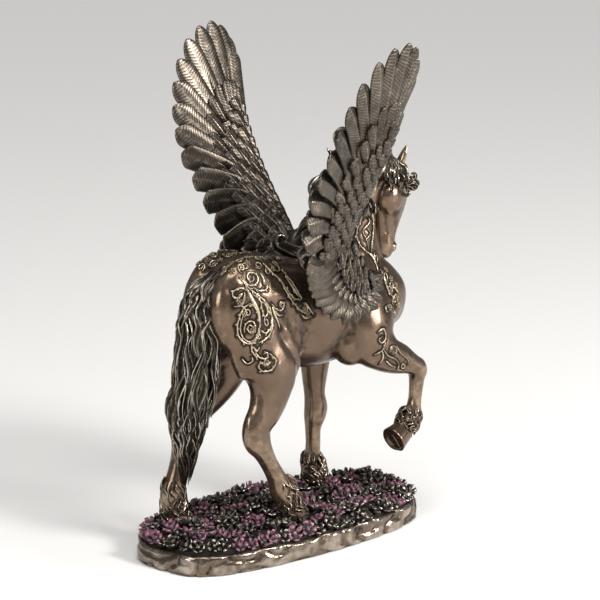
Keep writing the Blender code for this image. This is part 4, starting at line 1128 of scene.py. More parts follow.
def wing_feather(clay, side, root, tip, lift, bend, width, shape, chance, sizes, face, roll,
                 pitch=1.0, thick=1.0, settle=0.30, painted_shade=0.0):
    """A feather on one face of a wing, from root to tip, which are shares back and up."""
    share = np.linspace(0, 1, 14)
    swing = bend * np.sin(math.pi * share)
    back = root[0] + (tip[0] - root[0]) * share
    rise = root[1] + (tip[1] - root[1]) * share + swing
    path = wing_points(side, back, rise, lift * (1 - settle * share))
    feather(
        clay, path, (0.0, side * face, 0.0), width, sizes.thickness * thick, shape,
        sizes.barb_pitch * pitch, sizes.barb_depth, chance.random(),
        roll=math.radians(roll) * face * side + chance.uniform(-0.04, 0.04), painted_shade=painted_shade,
    )


def add_web(clay, side):
    """The wing's skin under its feathers, so that no light shows between them."""
    steps, rings = np.linspace(0, 0.80, 12), []
    for share in np.linspace(0, 1, 28):
        root, tip = wing_ends(share)
        reach = steps[:, None] * (0.92 if 0.03 < share < 0.97 else 0.70)
        back, rise = (root + (tip - root) * reach).T
        rise = rise + 0.022 * (1 - share) * np.sin(math.pi * steps)
        over = wing_points(side, back, rise, 0.0004)
        under = wing_points(side, back, rise, -0.0004)
        rings.append(np.vstack((over, under[::-1])))
    clay.tube(rings, 0.12, 0.3)


def add_arm(clay, side):
    """The fleshy front of the wing, thick at the shoulder."""
    arm = []
    for share, size in ((0, 1.8), (0.2, 1.3), (0.45, 0.95), (0.7, 0.6), (1.0, 0.25)):
        centre = wing_points(side, 0.10, -0.10 + share * 0.62)
        arm.append((*centre, 0.0040 * size, 0.0032 * size))
    clay.loft(arm, sides=14, across=(1, 0, 0))


def add_flight(clay, side, chance, sizes):
    """The long flight feathers, from the lowest up."""
    for n in range(FLIGHT_FEATHERS):
        share = n / (FLIGHT_FEATHERS - 1)
        root, tip = wing_ends(share)
        wide = sizes.width * (1.10 - 0.40 * share**1.6)
        wing_feather(clay, side, root, tip, chance.uniform(-0.0003, 0.0003), 0.030 * (1 - share), wide,
                     FLIGHT, chance, sizes, 1, 7 + chance.uniform(-2, 2))


def add_coverts(clay, side, face, chance, sizes):
    """Rows of shorter feathers that cover the flight feathers' roots on one face."""
    for count, first, last, start, reach, size, lift, scale in COVERT_ROWS:
        for n in range(count):
            share = first + (last - first) * n / (count - 1) + chance.uniform(-0.012, 0.012)
            share = min(max(share, 0.0), 1.0)
            root, tip = wing_ends(share)
            begin = root + (tip - root) * start
            end = root + (tip - root) * (reach + chance.uniform(-0.02, 0.02))
            if scale:
                end[1] += 0.012
            wing_feather(
                clay, side, begin, end, face * lift * 0.001, 0.016 * (1 - share),
                sizes.width * size * (1.0 - 0.22 * share), SCALE if scale else FLIGHT,
                chance, sizes, face, 2 if scale else 7, thick=1.5 if scale else 1.0,
                # the low coverts of the inner face are darkened as painted shade
                painted_shade=0.26 * max(0.0, 0.6 - share) * (face < 0),
            )


def add_arm_scales(clay, side, face, chance, sizes):
    """Scales along the arm: round and domed on the inner face, pointed on the outer one."""
    for column in range(ARM_SCALE_COLUMNS):
        for n in range(ARM_SCALE_ROWS):
            rise = -0.06 + 0.063 * n + 0.032 * (column % 2) + chance.uniform(-0.010, 0.010)
            back = 0.035 + 0.098 * column + 0.05 * max(0, 0.12 - rise) + chance.uniform(-0.014, 0.014)
            if rise > 0.62 - 0.08 * column:
                continue
            begin = np.array((back, rise))
            size = chance.uniform(1.00, 1.32) * (1 - 0.30 * max(0, rise))
            end = begin + np.array((0.125 - 0.06 * rise, 0.062 + 0.03 * rise)) * size
            width, shape = (0.0068, SCALE) if face < 0 else (0.0050, LANCE)
            wing_feather(
                clay, side, begin, end, face * 0.0026, 0.0, width * size, shape, chance, sizes, face,
                chance.uniform(-4, 10), pitch=1.4, thick=1.35, settle=-0.50,
                # the low scales of the inner face are darkened as painted shade
                painted_shade=0.30 * max(0.0, 0.60 - rise) * (face < 0),
            )


def add_edge_feathers(clay, side, face, chance, sizes):
    """Small feathers along the wing's front edge."""
    for n in range(EDGE_FEATHERS):
        share = n / (EDGE_FEATHERS - 1)
        begin = np.array((0.00 + 0.045 * (n % 3) - 0.02 * share, -0.06 + 0.66 * share))
        end = begin + np.array((0.055 - 0.07 * share, 0.062))
        wing_feather(clay, side, begin, end, face * 0.0030 * (1 - 0.45 * share), 0.0, 0.0044, SCALE,
                     chance, sizes, face, 6, pitch=1.5, settle=-0.5)


def make_wing(side, name, materials, sizes):
    """Flight feathers, then on both faces the coverts in rows, the scales and the small edge feathers."""
    clay = Clay()
    chance = random.Random(11)
    add_arm(clay, side)
    add_web(clay, side)
    add_flight(clay, side, chance, sizes)
    for face in (1, -1):
        add_coverts(clay, side, face, chance, sizes)
        add_arm_scales(clay, side, face, chance, sizes)
        add_edge_feathers(clay, side, face, chance, sizes)
    return clay.piece(name, materials)


def shoulder_points(side, row, lift=0.0):
    """Points at places behind the withers, out and below the loin, and lifted further out."""
    back, out, down = np.moveaxis(np.asarray(row, float), -1, 0)
    return np.stack((WITHERS_X - back, side * (out + lift), LOIN_Z - down), axis=-1)


def cape_out(back, down):
    """How far the inner shoulder feathers stand out: round the shoulder, and up the wing's root."""
    swell = 1 - ((back + 0.002) / 0.024) ** 2 - ((down - 0.002) / 0.034) ** 2
    round_out = 0.0185 + 0.0070 * np.sqrt(np.clip(swell, 0, 1))
    rise = -down / WING_HEIGHT
    bow_out = np.interp(rise, BOW[:, 0], BOW[:, 1]) * WING_SPREAD + 0.0042
    wing_out = bow_out - WING_DRAW[1] * wing_drawn(rise)
    return np.where(down < 0.004, np.maximum(round_out, wing_out), round_out)


def cape_ends(share):
    """Where a shoulder feather begins and ends, for its share of the row from the rearmost on."""
    return spline_at(CAPE_ROOTS, share), spline_at(CAPE_TIPS, share)


def add_cape_rim(clay, side, chance, sizes):
    """The large curved feathers at the scoop's rim."""
    for n in range(CAPE_FEATHERS):
        share = n / (CAPE_FEATHERS - 1)
        root, tip = cape_ends(share)
        steps = np.linspace(0, 1, 12)
        row = root + (tip - root) * steps[:, None]
        bow = 0.0040 * np.sin(math.pi * steps) * (1 - share)
        row[:, 2] += bow - 0.004 * steps**2 * (1 - share)
        path = shoulder_points(side, row, 0.0018 * np.sin(math.pi * steps))
        feather(clay, path, (-0.25, side * 0.95, 0.1), sizes.width * 0.86, sizes.thickness, FLIGHT,
                sizes.barb_pitch, sizes.barb_depth, chance.random(), roll=side * 0.22, cup=0.18)


def inside_cape(back, down):
    """Whether a small shoulder feather's root lies in the scoop, and behind its front limit."""
    if ((back + 0.001) / 0.0215) ** 2 + ((down + 0.004) / 0.0275) ** 2 > 1:
        return False
    return back >= np.interp(down, *np.transpose(CAPE_FRONT))


def add_cape_scales(clay, side, chance, sizes):
    """Small pointed feathers in rows that hang down over the shoulder."""
    for row in range(CAPE_SCALE_ROWS):
        down = -0.030 + 0.0043 * row
        for n in range(CAPE_SCALE_COLUMNS):
            back = 0.0165 - 0.0029 * n + 0.00145 * (row % 2) + chance.uniform(-0.0007, 0.0007)
            if not inside_cape(back, down):
                continue
            fan = 0.35 * (back + 0.001) / 0.016 + chance.uniform(-0.32, 0.32)
            long = 0.0068 * chance.uniform(0.75, 1.25)
            steps = np.linspace(0, 1, 6)
            backs = back + long * math.sin(fan) * steps
            downs = down + long * math.cos(fan) * steps
            outs = cape_out(backs, downs)
            rise = chance.uniform(0.0004, 0.0018)
            path = shoulder_points(side, np.stack((backs, outs, downs), axis=-1), 0.0004 + rise * steps)
            feather(clay, path, (-0.1, side, 0.1), 0.0036, 0.0014, LANCE, sizes.barb_pitch * 1.1,
                    sizes.barb_depth * 0.8, chance.random(), chance.uniform(-0.2, 0.2), cup=0.3, point=0.8)


def add_cape_coverts(clay, side, chance, sizes):
    """A second row of middling feathers over the roots of the large ones."""
    for n in range(CAPE_COVERTS):
        root, tip = cape_ends(n / (CAPE_COVERTS - 1))
        steps = np.linspace(0, 1, 8)
        row = root + (tip - root) * (0.46 * steps[:, None] - 0.10)
        path = shoulder_points(side, row, 0.0026 - 0.0008 * steps)
        feather(clay, path, (-0.25, side * 0.95, 0.1), sizes.width * 0.42, 0.0015, SCALE,
                sizes.barb_pitch, sizes.barb_depth, chance.random(), roll=side * 0.12, cup=0.2)


def make_cape(side, name, materials, sizes):
    """The scoop of feathers below a wing: large curved ones at its rim, small pointed ones inside."""
    clay = Clay()
    chance = random.Random(23)
    clay.ball(shoulder_points(side, (0.001, 0.0150, 0.008)), (0.0125, 0.0074, 0.018), 26)
    add_cape_rim(clay, side, chance, sizes)
    add_cape_scales(clay, side, chance, sizes)
    add_cape_coverts(clay, side, chance, sizes)
    return clay.piece(name, materials)


# Hair


def hair_lock(clay, line, radius, sizes, chance, ridges, twist, steps, flat=0.72, tip=0.10, start=0.75):
    """A tapered lock through points, with ridges that wind along it like combed hair."""
    line = spline_rows(np.asarray(line, float), steps)
    share = np.linspace(0, 1, len(line))
    tangent = unit(np.gradient(line, axis=0))
    side = np.array((0, 1.0, 0))
    side = unit(side - tangent * (tangent @ side)[:, None])
    front = np.cross(side, tangent)
    size = radius * np.interp(share, (0, 0.18, 0.5, 0.8, 1), (start, 1, 0.86, 0.52, tip))
    turn = once_round(3 * ridges)
    comb = np.cos(ridges * turn)[None, :]
    reach = size[:, None] * (1 + sizes.ridge * comb)
    spin = turn[None, :] + twist * share[:, None]
    rings = (
        line[:, None]
        + front[:, None] * (reach * np.cos(spin))[..., None]
        + side[:, None] * (flat * reach * np.sin(spin))[..., None]
    )
    clay.tube(rings, 0.5 + 0.42 * np.broadcast_to(comb, reach.shape), chance.random())


def tail_rows():
    """The tail's stations from the dock down: centre x, y, z, half depth and half width."""
    dock = Vector((TRUNK_BACK_X + 0.009, 0, LOIN_Z - 0.0055))
    drop = dock.z - bed_height(HIP_X - 0.029, 0.01) - 0.020
    return [
        (dock.x + back, out, dock.z - share * drop, deep * 0.009, wide * 0.009)
        for share, back, out, deep, wide in TAIL
    ]


def round_tail(at, turn, reach):
    """Points round the tail's rows: at an angle, and at a share of its half thickness out."""
    x, y, z, deep, wide = np.moveaxis(at, 1, 0)
    return np.stack((x + deep * reach * np.cos(turn), y + wide * reach * np.sin(turn), z + 0 * turn), axis=-1)


def add_tail_core(clay, rows):
    """The combed mass under the locks."""
    share = np.linspace(0, 1, 90)
    turn = once_round(96)
    comb = np.cos(24 * turn[None, :] + 2.2 * np.sin(34 * share)[:, None])
    clay.tube(round_tail(spline_at(rows, share)[..., None], turn, 0.86 + 0.05 * comb), 0.35 + 0.3 * comb, 0.4)


def add_tail_layer(clay, rows, layer, chance, sizes):
    """One layer of waved locks all round the tail."""
    count, first, last, length, out = layer
    for n in range(count):
        turn = 2 * math.pi * (n + chance.uniform(-0.25, 0.25)) / count
        begin = chance.uniform(first, last)
        end = min(1.0, begin + length * chance.uniform(0.8, 1.15))
        phase, sway = chance.uniform(0, 6.28), chance.uniform(0.18, 0.36)
        share = np.linspace(begin, end, 17)
        local = (share - begin) / (end - begin)
        wave = turn + sway * np.sin(9 * share + phase) + 0.13 * np.sin(42 * share + 3 * turn + 0.5 * phase)
        puff = out + 0.07 * np.sin(40 * share + 5 * turn) + 0.18 * local**3 - 0.14 * (1 - local) ** 3
        line = round_tail(spline_at(rows, share), wave, puff)
        line[:, 2] -= 0.003 * local**2
        hair_lock(clay, line, sizes.tail_lock * chance.uniform(0.75, 1.25), sizes, chance, 3,
                  chance.uniform(-2, 2), 1, start=0.35)


def add_tail_tuft(clay, rows, chance, sizes):
    """A tuft that blows out at the back above the hock."""
    local = np.linspace(0, 1, 9)
    for n in range(TUFT_LOCKS):
        at = spline_at(rows, 0.52 + 0.013 * (n % 4) + 0.17 * local)
        turn = 2.44 + 0.17 * (n - 4) + 0.35 * local * math.sin(2.0 * n)
        puff = 0.90 + (0.34 + 0.10 * math.sin(3.0 * n)) * np.sin(math.pi * local**0.75)
        line = round_tail(at, turn, puff)
        hair_lock(clay, line, sizes.tail_lock * 1.25, sizes, chance, 3, 1.5, 2, start=0.35)


def add_tail_curls(clay, rows, chance, sizes):
    """Curls that wind up at the tail's front and back."""
    for share, back, out, size, turns in TAIL_CURLS:
        x, y, z = spline_at(rows, share)[:3]
        bend = np.linspace(0, turns * 2 * math.pi, 13)
        fade = 1 - 0.45 * bend / bend[-1]
        sign = math.copysign(1, back)
        line = np.stack(
            (
                x + back + sign * size * fade * np.cos(bend) * 0.8 - sign * size,
                y + out + 0.0012 * bend / math.pi,
                z - size * fade * np.sin(bend) - 0.002 * bend / math.pi,
            ),
            axis=-1,
        )
        lead = np.array((x + back * 0.55, y + out * 0.6, z + 0.012))
        hair_lock(clay, np.vstack((lead, line)), sizes.tail_lock * 1.15, sizes, chance, 4, 1.5, 3, tip=0.3)


def make_tail(sizes, materials):
    """Waved locks in layers round a combed core, with curls where they end."""
    clay = Clay()
    chance = random.Random(5)
    rows = tail_rows()
    add_tail_core(clay, rows)
    for layer in TAIL_LAYERS:
        add_tail_layer(clay, rows, layer, chance, sizes)
    add_tail_tuft(clay, rows, chance, sizes)
    add_tail_curls(clay, rows, chance, sizes)
    return clay.piece("tail", materials)


def blown_lock(clay, root, way, length, radius, curl, phase, sizes, chance, hook=0.0):
    """A lock from root along way that waves, and winds up at its tip when hook is set."""
    way = unit(np.asarray(way, float))
    over = np.array((0, 0, 1.0)) - way * way[2]
    over = unit(over) if np.linalg.norm(over) > 0.05 else np.array((1.0, 0, 0))
    share = np.linspace(0, 1, 12)
    swing = 0.12 * np.sin(6 * share + phase) * np.minimum(1, share * 3) + curl * share**2.4
    line = (
        np.asarray(root, float)
        + way * (length * share * (1 - 0.25 * abs(curl) * share))[:, None]
        + over * (length * swing)[:, None]
    )
    if hook:
        heading = unit(line[-1] - line[-2])
        aside = over * math.copysign(1, hook)
        aside = unit(aside - heading * (aside @ heading))
        turn = np.linspace(0.35, 4.2, 9)[:, None]
        radius_at = abs(hook) * (1 - 0.11 * turn)
        ring = line[-1] + aside * abs(hook) + (heading * np.sin(turn) - aside * np.cos(turn)) * radius_at
        line = np.vstack((line, ring))
    hair_lock(clay, line, radius, sizes, chance, 4, chance.uniform(-2.5, 2.5), 2, tip=0.22 if hook else 0.10)


def make_mane(sizes, materials):
    """Locks that blow back from the crest, and shorter ones that hang down both sides of the neck."""
    clay = Clay()
    chance = random.Random(31)
    for n in range(CREST_LOCKS):
        share = 0.10 + 0.90 * n / (CREST_LOCKS - 1)
        root = crest_point(share) + np.array((0.002, 0.002 * math.sin(2.4 * n), 0))
        way = (-1.0, 0.42 * math.sin(2.1 * n), -0.40 + 0.72 * share)
        long = 0.0290 * (0.80 + 0.22 * math.sin(1.7 * n))
        blown_lock(clay, root, way, long, sizes.mane_lock * 1.45, 0.22 * math.cos(n), n, sizes, chance,
                   hook=0.0032 * (1 if n % 3 else -1) * (n % 2))
    for side in (LEFT, RIGHT):
        for n in range(NECK_LOCKS):
            share = 0.14 + 0.86 * n / (NECK_LOCKS - 1)
            row = n % 2
            shift = (0.003 + 0.002 * row, side * (0.003 + 0.0025 * row), -0.001 - 0.003 * row)
            root = crest_point(share) + np.array(shift)
            way = (-0.20 + 0.30 * math.sin(n), side * (0.36 - 0.14 * share), -1.0)
            long = 0.0225 * (0.80 + 0.20 * math.cos(2.3 * n))
            blown_lock(clay, root, way, long, sizes.mane_lock, 0.16, n + side, sizes, chance,
                       hook=0.0022 * (n % 3 == 0))
    return clay.piece("mane", materials)


def make_forelock(sizes, materials):
    """Curls that fall over the brow, and others that hang behind it on both sides of the poll."""
    clay = Clay()
    chance = random.Random(8)
    thin_lock = sizes.mane_lock * 0.66
    brow = head_point(0.10 * HEAD_DEPTH, 0, 0.05)
    middle = BROW_LOCKS // 2
    for n in range(BROW_LOCKS):
        spread = (n - middle) / middle
        row = n % 3
        way = (0.44 - 0.16 * row, 0.55 * spread, -0.92 - 0.08 * row)
        root = brow + np.array((-0.0006 + 0.0006 * row, 0.0050 * spread, -0.0012 - 0.0020 * row))
        blown_lock(clay, root, way, 0.0135 - 0.0015 * row, thin_lock, 0.16, 2.0 * n, sizes, chance,
                   hook=0.0017)
    for side in (LEFT, RIGHT):
        for n in range(POLL_LOCKS):
            forward, down = (0.02 - 0.10 * n / 2) * HEAD_DEPTH, 0.02 + 0.02 * (n % 2)
            root = head_point(forward, side * 0.36 * HEAD_WIDTH, down)
            way = (0.24 - 0.16 * n, side * 0.55, -0.80 - 0.2 * (n % 2))
            blown_lock(clay, root, way, 0.0115, thin_lock, 0.16, 1.3 * n, sizes, chance, hook=0.0018)
    return clay.piece("forelock", materials)


def fetlock_rings():
    """Fetlock middle and coronet middle of the four feet, the raised one last."""
    made = []
    for rows, foot in (
        (hind_leg_rows(*HIND_RIGHT), HIND_RIGHT[1]),
        (hind_leg_rows(*HIND_LEFT), HIND_LEFT[1]),
        (fore_leg_rows(*FORE_LEFT), FORE_LEFT[1]),
    ):
        x, y, z = rows[-3][:3]
        made.append((np.array((x, y, z)), np.array((foot, y, bed_height(foot, y)))))
    made.append((FETLOCK, CORONET))
    return made


def level_frame(way):
    """The two directions across a way: level to the side, and to the front."""
    side = unit(np.array((0, 1.0, 0)) - way * way[1])
    return side, np.cross(side, way)


def make_hoof_hair(sizes, materials):
    """Long soft locks that flow from above each fetlock down over the hoof."""
    clay = Clay()
    chance = random.Random(3)
    for number, (fetlock, coronet) in enumerate(fetlock_rings()):
        raised = number == 3
        if raised:
            top, bottom = fetlock - np.array((-0.001, 0, -0.005)), coronet + SOLE_WAY * 0.0005
        else:
            lean = (fetlock - coronet)[0] * 0.35
            top, bottom = fetlock + np.array((lean, 0, 0.0095)), coronet + np.array((0, 0, 0.0020))
        # the leg's half thickness, from above the fetlock to the sole
        leg = (0.0046, 0.0058, 0.0063, 0.0056 if raised else 0.0070)
        for layer, (count, low, high) in enumerate(HOOF_HAIR_LAYERS):
            for n in range(count):
                turn = 2 * math.pi * (n + 0.5 * (layer % 2) + chance.uniform(-0.2, 0.2)) / count
                begin = chance.uniform(low, high)
                add_hoof_lock(clay, top, bottom, leg, turn, begin, chance, sizes)
    return clay.piece("hoof_hair", materials)


def add_hoof_lock(clay, top, bottom, leg, turn, begin, chance, sizes):
    """A lock that starts at a share of the drop and at an angle round the leg, and lies against it."""
    span = np.linalg.norm(bottom - top)
    axis = unit(bottom - top)
    side, front = level_frame(axis)
    end = min(1.0, begin + chance.uniform(0.42, 0.62))
    t = np.linspace(begin, end, 9)
    local = (t - begin) / (end - begin)
    phase = chance.uniform(0, 6.28)
    angle = turn + 0.26 * np.sin(9.0 * local + phase) * np.minimum(1, 2 * local)
    thick = np.interp(t, (0, 0.35, 0.62, 1.0), leg)
    reach = thick - 0.0009 * (1 - np.minimum(1, 3 * local)) + 0.0002 + 0.0008 * local**2.5
    line = top + axis * (t * span)[:, None] + front * (reach * np.cos(angle))[:, None]
    line = line + side * (reach * np.sin(angle) * 0.95)[:, None]
    hair_lock(clay, line, 0.00112 * chance.uniform(0.85, 1.2), sizes, chance, 3,
              chance.uniform(-1.5, 1.5), 1, flat=0.8, start=0.25)


def make_hooves(materials):
    """Hooves that widen to the sole, with growth rings; the sole is hollow round its frog."""
    clay = Clay()
    feet = []
    legs = ((*HIND_RIGHT[:2], HIND_TRACK), (*HIND_LEFT[:2], HIND_TRACK), (*FORE_LEFT, FORE_TRACK))
    for side, foot, track in legs:
        y = side * track / 2
        centre = np.array((foot, y, bed_height(foot, y) + 0.45 * HOOF_LENGTH))
        feet.append((centre, unit(np.array((0.25, 0, -1.0)))))
    feet.append((CORONET + SOLE_WAY * 0.45 * HOOF_LENGTH, unit(SOLE_WAY)))
    for centre, way in feet:
        side, front = level_frame(way)
        turn = once_round(32)
        rings = []
        for share, size in HOOF_RINGS:
            # the ring lies a little further in at the heel
            reach = HOOF_RADIUS * size * (1 - 0.10 * np.exp(-(((turn - math.pi) / 0.35) ** 2)))
            rings.append(
                centre + way * share * HOOF_LENGTH
                + front * (reach * np.cos(turn))[:, None]
                + side * (0.9 * reach * np.sin(turn))[:, None]
            )
        clay.tube(rings, 0.5, 0.4)
        frog = []
        for reach, size in ((-0.0058, 0.0024), (-0.0030, 0.0019), (0.0005, 0.0010), (0.0030, 0.0003)):
            middle = centre + way * 0.36 * HOOF_LENGTH + front * reach
            frog.append((*middle, 0.0009, size))
        clay.loft(frog, sides=8, steps=2, across=side)
    return clay.piece("hooves", materials)


# Base and flowers


def base_outline(around):
    """The base's outline as points round it."""
    turn = once_round(around)
    reach = np.array([outline_radius(t) for t in turn])
    return BASE_LENGTH / 2 * reach * np.cos(turn), BASE_WIDTH / 2 * reach * np.sin(turn)


def carving(spot):
    """How far the rim stands out at a point: chipped facets with edges between them."""
    spot = Vector((spot[0], spot[1], 1.4 * spot[2]))
    bend = Vector((noise.noise(spot * 70), noise.noise(spot * 70 + Vector((5, 5, 5))), 0)) * 0.008
    swell = 1 - 2 * abs(noise.noise((spot + bend) * 75 + Vector((9, 2, 4))))
    chip = noise.noise(spot * 240 + Vector((3, 1, 7)))
    return 0.0017 * (0.55 - swell**3) + 0.0005 * chip


def make_rim(materials):
    """The plinth's edge: uneven, as carved rock, and flat underneath."""
    clay = Clay()
    around = 300
    turn = once_round(around)
    x, y = base_outline(around)
    outward = unit(np.stack((np.cos(turn) / BASE_LENGTH, np.sin(turn) / BASE_WIDTH, 0 * turn), axis=-1))
    rings, marks = [], []
    for share, height, carve in RIM_RINGS:
        ring = np.stack((x * share, y * share, np.full(around, height)), axis=-1)
        depth = np.array([carving(spot) for spot in ring]) if carve else np.zeros(around)
        ring = ring + outward * (depth * carve)[:, None]
        if height > 0.009:
            for spot in ring:
                spot[2] += 0.0011 * noise.noise(Vector((spot[0], spot[1], 0.02)) * 60) * carve
        rings.append(ring)
        marks.append(np.clip(0.50 + depth * 300, 0.12, 1))
    clay.tube(rings, np.array(marks), 0.5)
    return clay.piece("base_rim", materials)


def soil_height(x, y, sink):
    """The soil's height under the flowers; a sink of None is the bed's flat floor."""
    if sink is None:
        return BED_FLOOR
    crumb = 0 if sink else 0.0004 * noise.noise(Vector((x, y, 0)) * 300)
    return bed_height(x, y) - BED_CLEAR - sink + crumb


def make_bed(materials):
    """The soil under the flowers, in the cast solid's dome."""
    clay = Clay()
    rings = []
    for share, sink in BED_RINGS:
        edge = np.transpose(base_outline(120)) * share
        rings.append([(x, y, soil_height(x, y, sink)) for x, y in edge])
    clay.tube(rings, 0.25, 0.5)
    return clay.piece("flower_bed", materials)


def bed_places(spacing, seed):
    """Places for flowers: a ring along the rim, and staggered rows with small shifts inside it."""
    chance = random.Random(seed)
    turns = np.linspace(0, 2 * math.pi, 721)
    reach = np.array([outline_radius(turn) for turn in turns]) * 0.945
    edge = np.stack((BASE_LENGTH / 2 * reach * np.cos(turns), BASE_WIDTH / 2 * reach * np.sin(turns)))
    length = np.concatenate(([0], np.cumsum(np.hypot(*np.diff(edge)))))
    around = int(length[-1] / spacing * 1.08)
    ring = []
    for n in range(around):
        place = length[-1] * (n + chance.uniform(-0.2, 0.2)) / around % length[-1]
        ring.append((float(np.interp(place, length, edge[0])), float(np.interp(place, length, edge[1]))))
    places = list(ring)
    rows = int(BASE_WIDTH / (spacing * 0.87)) + 1
    columns = int(BASE_LENGTH / spacing) + 1
    for row in range(rows):
        for column in range(columns):
            x = (column - columns / 2 + 0.5 * (row % 2)) * spacing + chance.uniform(-0.16, 0.16) * spacing
            y = (row - rows / 2 + 0.5) * spacing * 0.87 + chance.uniform(-0.16, 0.16) * spacing
            clear = min(math.hypot(x - a, y - b) for a, b in ring)
            if edge_share(x, y) < BED_EDGE and clear > 0.70 * spacing:
                places.append((x, y))
    return places


def bed_normal(x, y):
    """The direction in which the flower bed looks at a place."""
    step = 0.0012
    slope_x = (bed_height(x + step, y) - bed_height(x - step, y)) / (2 * step)
    slope_y = (bed_height(x, y + step) - bed_height(x, y - step)) / (2 * step)
    return unit(np.array((-slope_x, -slope_y, 1.0)))


def turned(points, up, spin):
    """Points that stand on z, turned so that z looks along up."""
    up = unit(np.asarray(up, float))
    side = unit(np.cross(up, np.array((math.cos(spin), math.sin(spin), 0.013))))
    front = np.cross(up, side)
    return points[:, :1] * side + points[:, 1:2] * front + points[:, 2:] * up


def flower_form(radius, petals):
    """One flower head: blunt cupped petals round a button, as rings of one closed form."""
    sides = 3 * petals
    turn = 2 * math.pi * (np.arange(sides) - 0.5) / sides
    gap = np.arange(sides) % 3 == 2
    turn = turn + np.select([np.arange(sides) % 3 == 0, np.arange(sides) % 3 == 1], [-0.10, 0.10], 0)
    rings, marks = [], []
    # reach and height of the petals, then of the gaps between them, and their relief
    for reach, height, gap_reach, gap_height, mark, gap_mark in (
        (0.40, -0.70, 0.40, -0.70, 0.0, 0.0),
        (1.00, 0.14, 0.52, -0.38, 0.70, 0.05),
        (0.95, 0.32, 0.48, -0.28, 1.0, 0.10),
        (0.60, 0.05, 0.40, -0.20, 0.52, 0.05),
        (0.27, -0.06, 0.27, -0.06, 0.0, 0.0),
        (0.20, 0.28, 0.20, 0.28, 0.85, 0.85),
    ):
        out, up = np.where(gap, gap_reach, reach) * radius, np.where(gap, gap_height, height) * radius
        rings.append(np.stack((out * np.cos(turn), out * np.sin(turn), up), axis=-1))
        marks.append(np.where(gap, gap_mark, mark))
    return np.array(rings), np.array(marks)


def make_blossoms(sizes, materials):
    """Flower heads at the places of the cast solid's low domes."""
    clay = Clay()
    chance = random.Random(17)
    rings, marks = flower_form(sizes.radius, sizes.petals)
    for x, y in bed_places(BLOOM_SPACING, 17):
        up = bed_normal(x, y) + np.array((chance.uniform(-0.4, 0.4), chance.uniform(-0.4, 0.4), 0))
        size, spin = chance.uniform(0.80, 1.12), chance.uniform(0, 3)
        lift = chance.uniform(0.0, 0.0018)
        points = turned(rings.reshape(-1, 3) * (size, size, size * 1.15), up, spin)
        shift = np.random.default_rng(int(1e6 * abs(x) + 1e3 * abs(y))).normal(0, 0.00030, points.shape)
        points = points + shift + np.array((x, y, bed_height(x, y) + 0.0009 + lift))
        clay.tube(points.reshape(rings.shape), marks, chance.random())
    return clay.piece("blossoms", materials)


def make_leaves(sizes, materials):
    """Pointed leaves that stand between the flowers."""
    clay = Clay()
    chance = random.Random(29)
    for x, y in bed_places(0.0056, 40):
        for _ in range(2):
            spin = chance.uniform(0, 2 * math.pi)
            up = bed_normal(x, y)
            lean = unit(np.array((math.cos(spin), math.sin(spin), chance.uniform(0.2, 0.9))) + 0.3 * up)
            side = unit(np.cross(lean, up))
            top = np.cross(side, lean)
            shift = (chance.uniform(-0.002, 0.002), chance.uniform(-0.002, 0.002))
            root = np.array((x + shift[0], y + shift[1], bed_height(x, y) - 0.0004))
            if edge_share(root[0], root[1]) > BED_EDGE:
                continue
            long = sizes.leaf * chance.uniform(0.7, 1.15)
            rings = []
            for share, wide, thick in LEAF_RINGS:
                middle = root + lean * long * share + top * long * 0.18 * share * (1 - share)
                rings.append([
                    middle + side * long * wide, middle + top * long * thick,
                    middle - side * long * wide, middle - top * long * thick * 0.4,
                ])
            clay.tube(rings, np.tile((0.95, 0.35, 0.95, 0.1), (4, 1)), chance.random())
    return clay.piece("leaves", materials)


# Finishes

# The settings of a node that are not sockets
NODE_SETTINGS = ("operation", "data_type", "blend_type", "interpolation_type", "attribute_name")


def node(tree, kind, **inputs):
    """A node with its values set; i0 is its first socket, and another node's socket is linked."""
    made = tree.nodes.new(kind)
    for name in NODE_SETTINGS:
        if name in inputs:
            setattr(made, name, inputs.pop(name))
    for name, value in inputs.items():
        numbered = name[0] == "i" and name[1:].isdigit()
        socket = made.inputs[int(name[1:]) if numbered else name.replace("_", " ")]
        if isinstance(value, bpy.types.NodeSocket):
            tree.links.new(value, socket)
        else:
            socket.default_value = value
    return made


def calc(tree, kind, a, b=0.0, c=0.0):
    return node(tree, "ShaderNodeMath", operation=kind, i0=a, i1=b, i2=c).outputs[0]


def blend_colour(tree, factor, a, b, kind="MIX"):
    made = node(tree, "ShaderNodeMix", data_type="RGBA", blend_type=kind, i0=factor, i6=a, i7=b)
    return made.outputs[2]


def ramp(tree, value, low, high, start=0.0, end=1.0):
    """A smooth step of the value from start, at low, to end, at high."""
    made = node(tree, "ShaderNodeMapRange", interpolation_type="SMOOTHSTEP",
                i0=value, i1=low, i2=high, i3=start, i4=end)
    return made.outputs[0]


def from_half(tree, value, amount, base):
    """The base, plus the amount times how far the value is from a half."""
    return calc(tree, "MULTIPLY_ADD", calc(tree, "SUBTRACT", value, 0.5), amount, base)


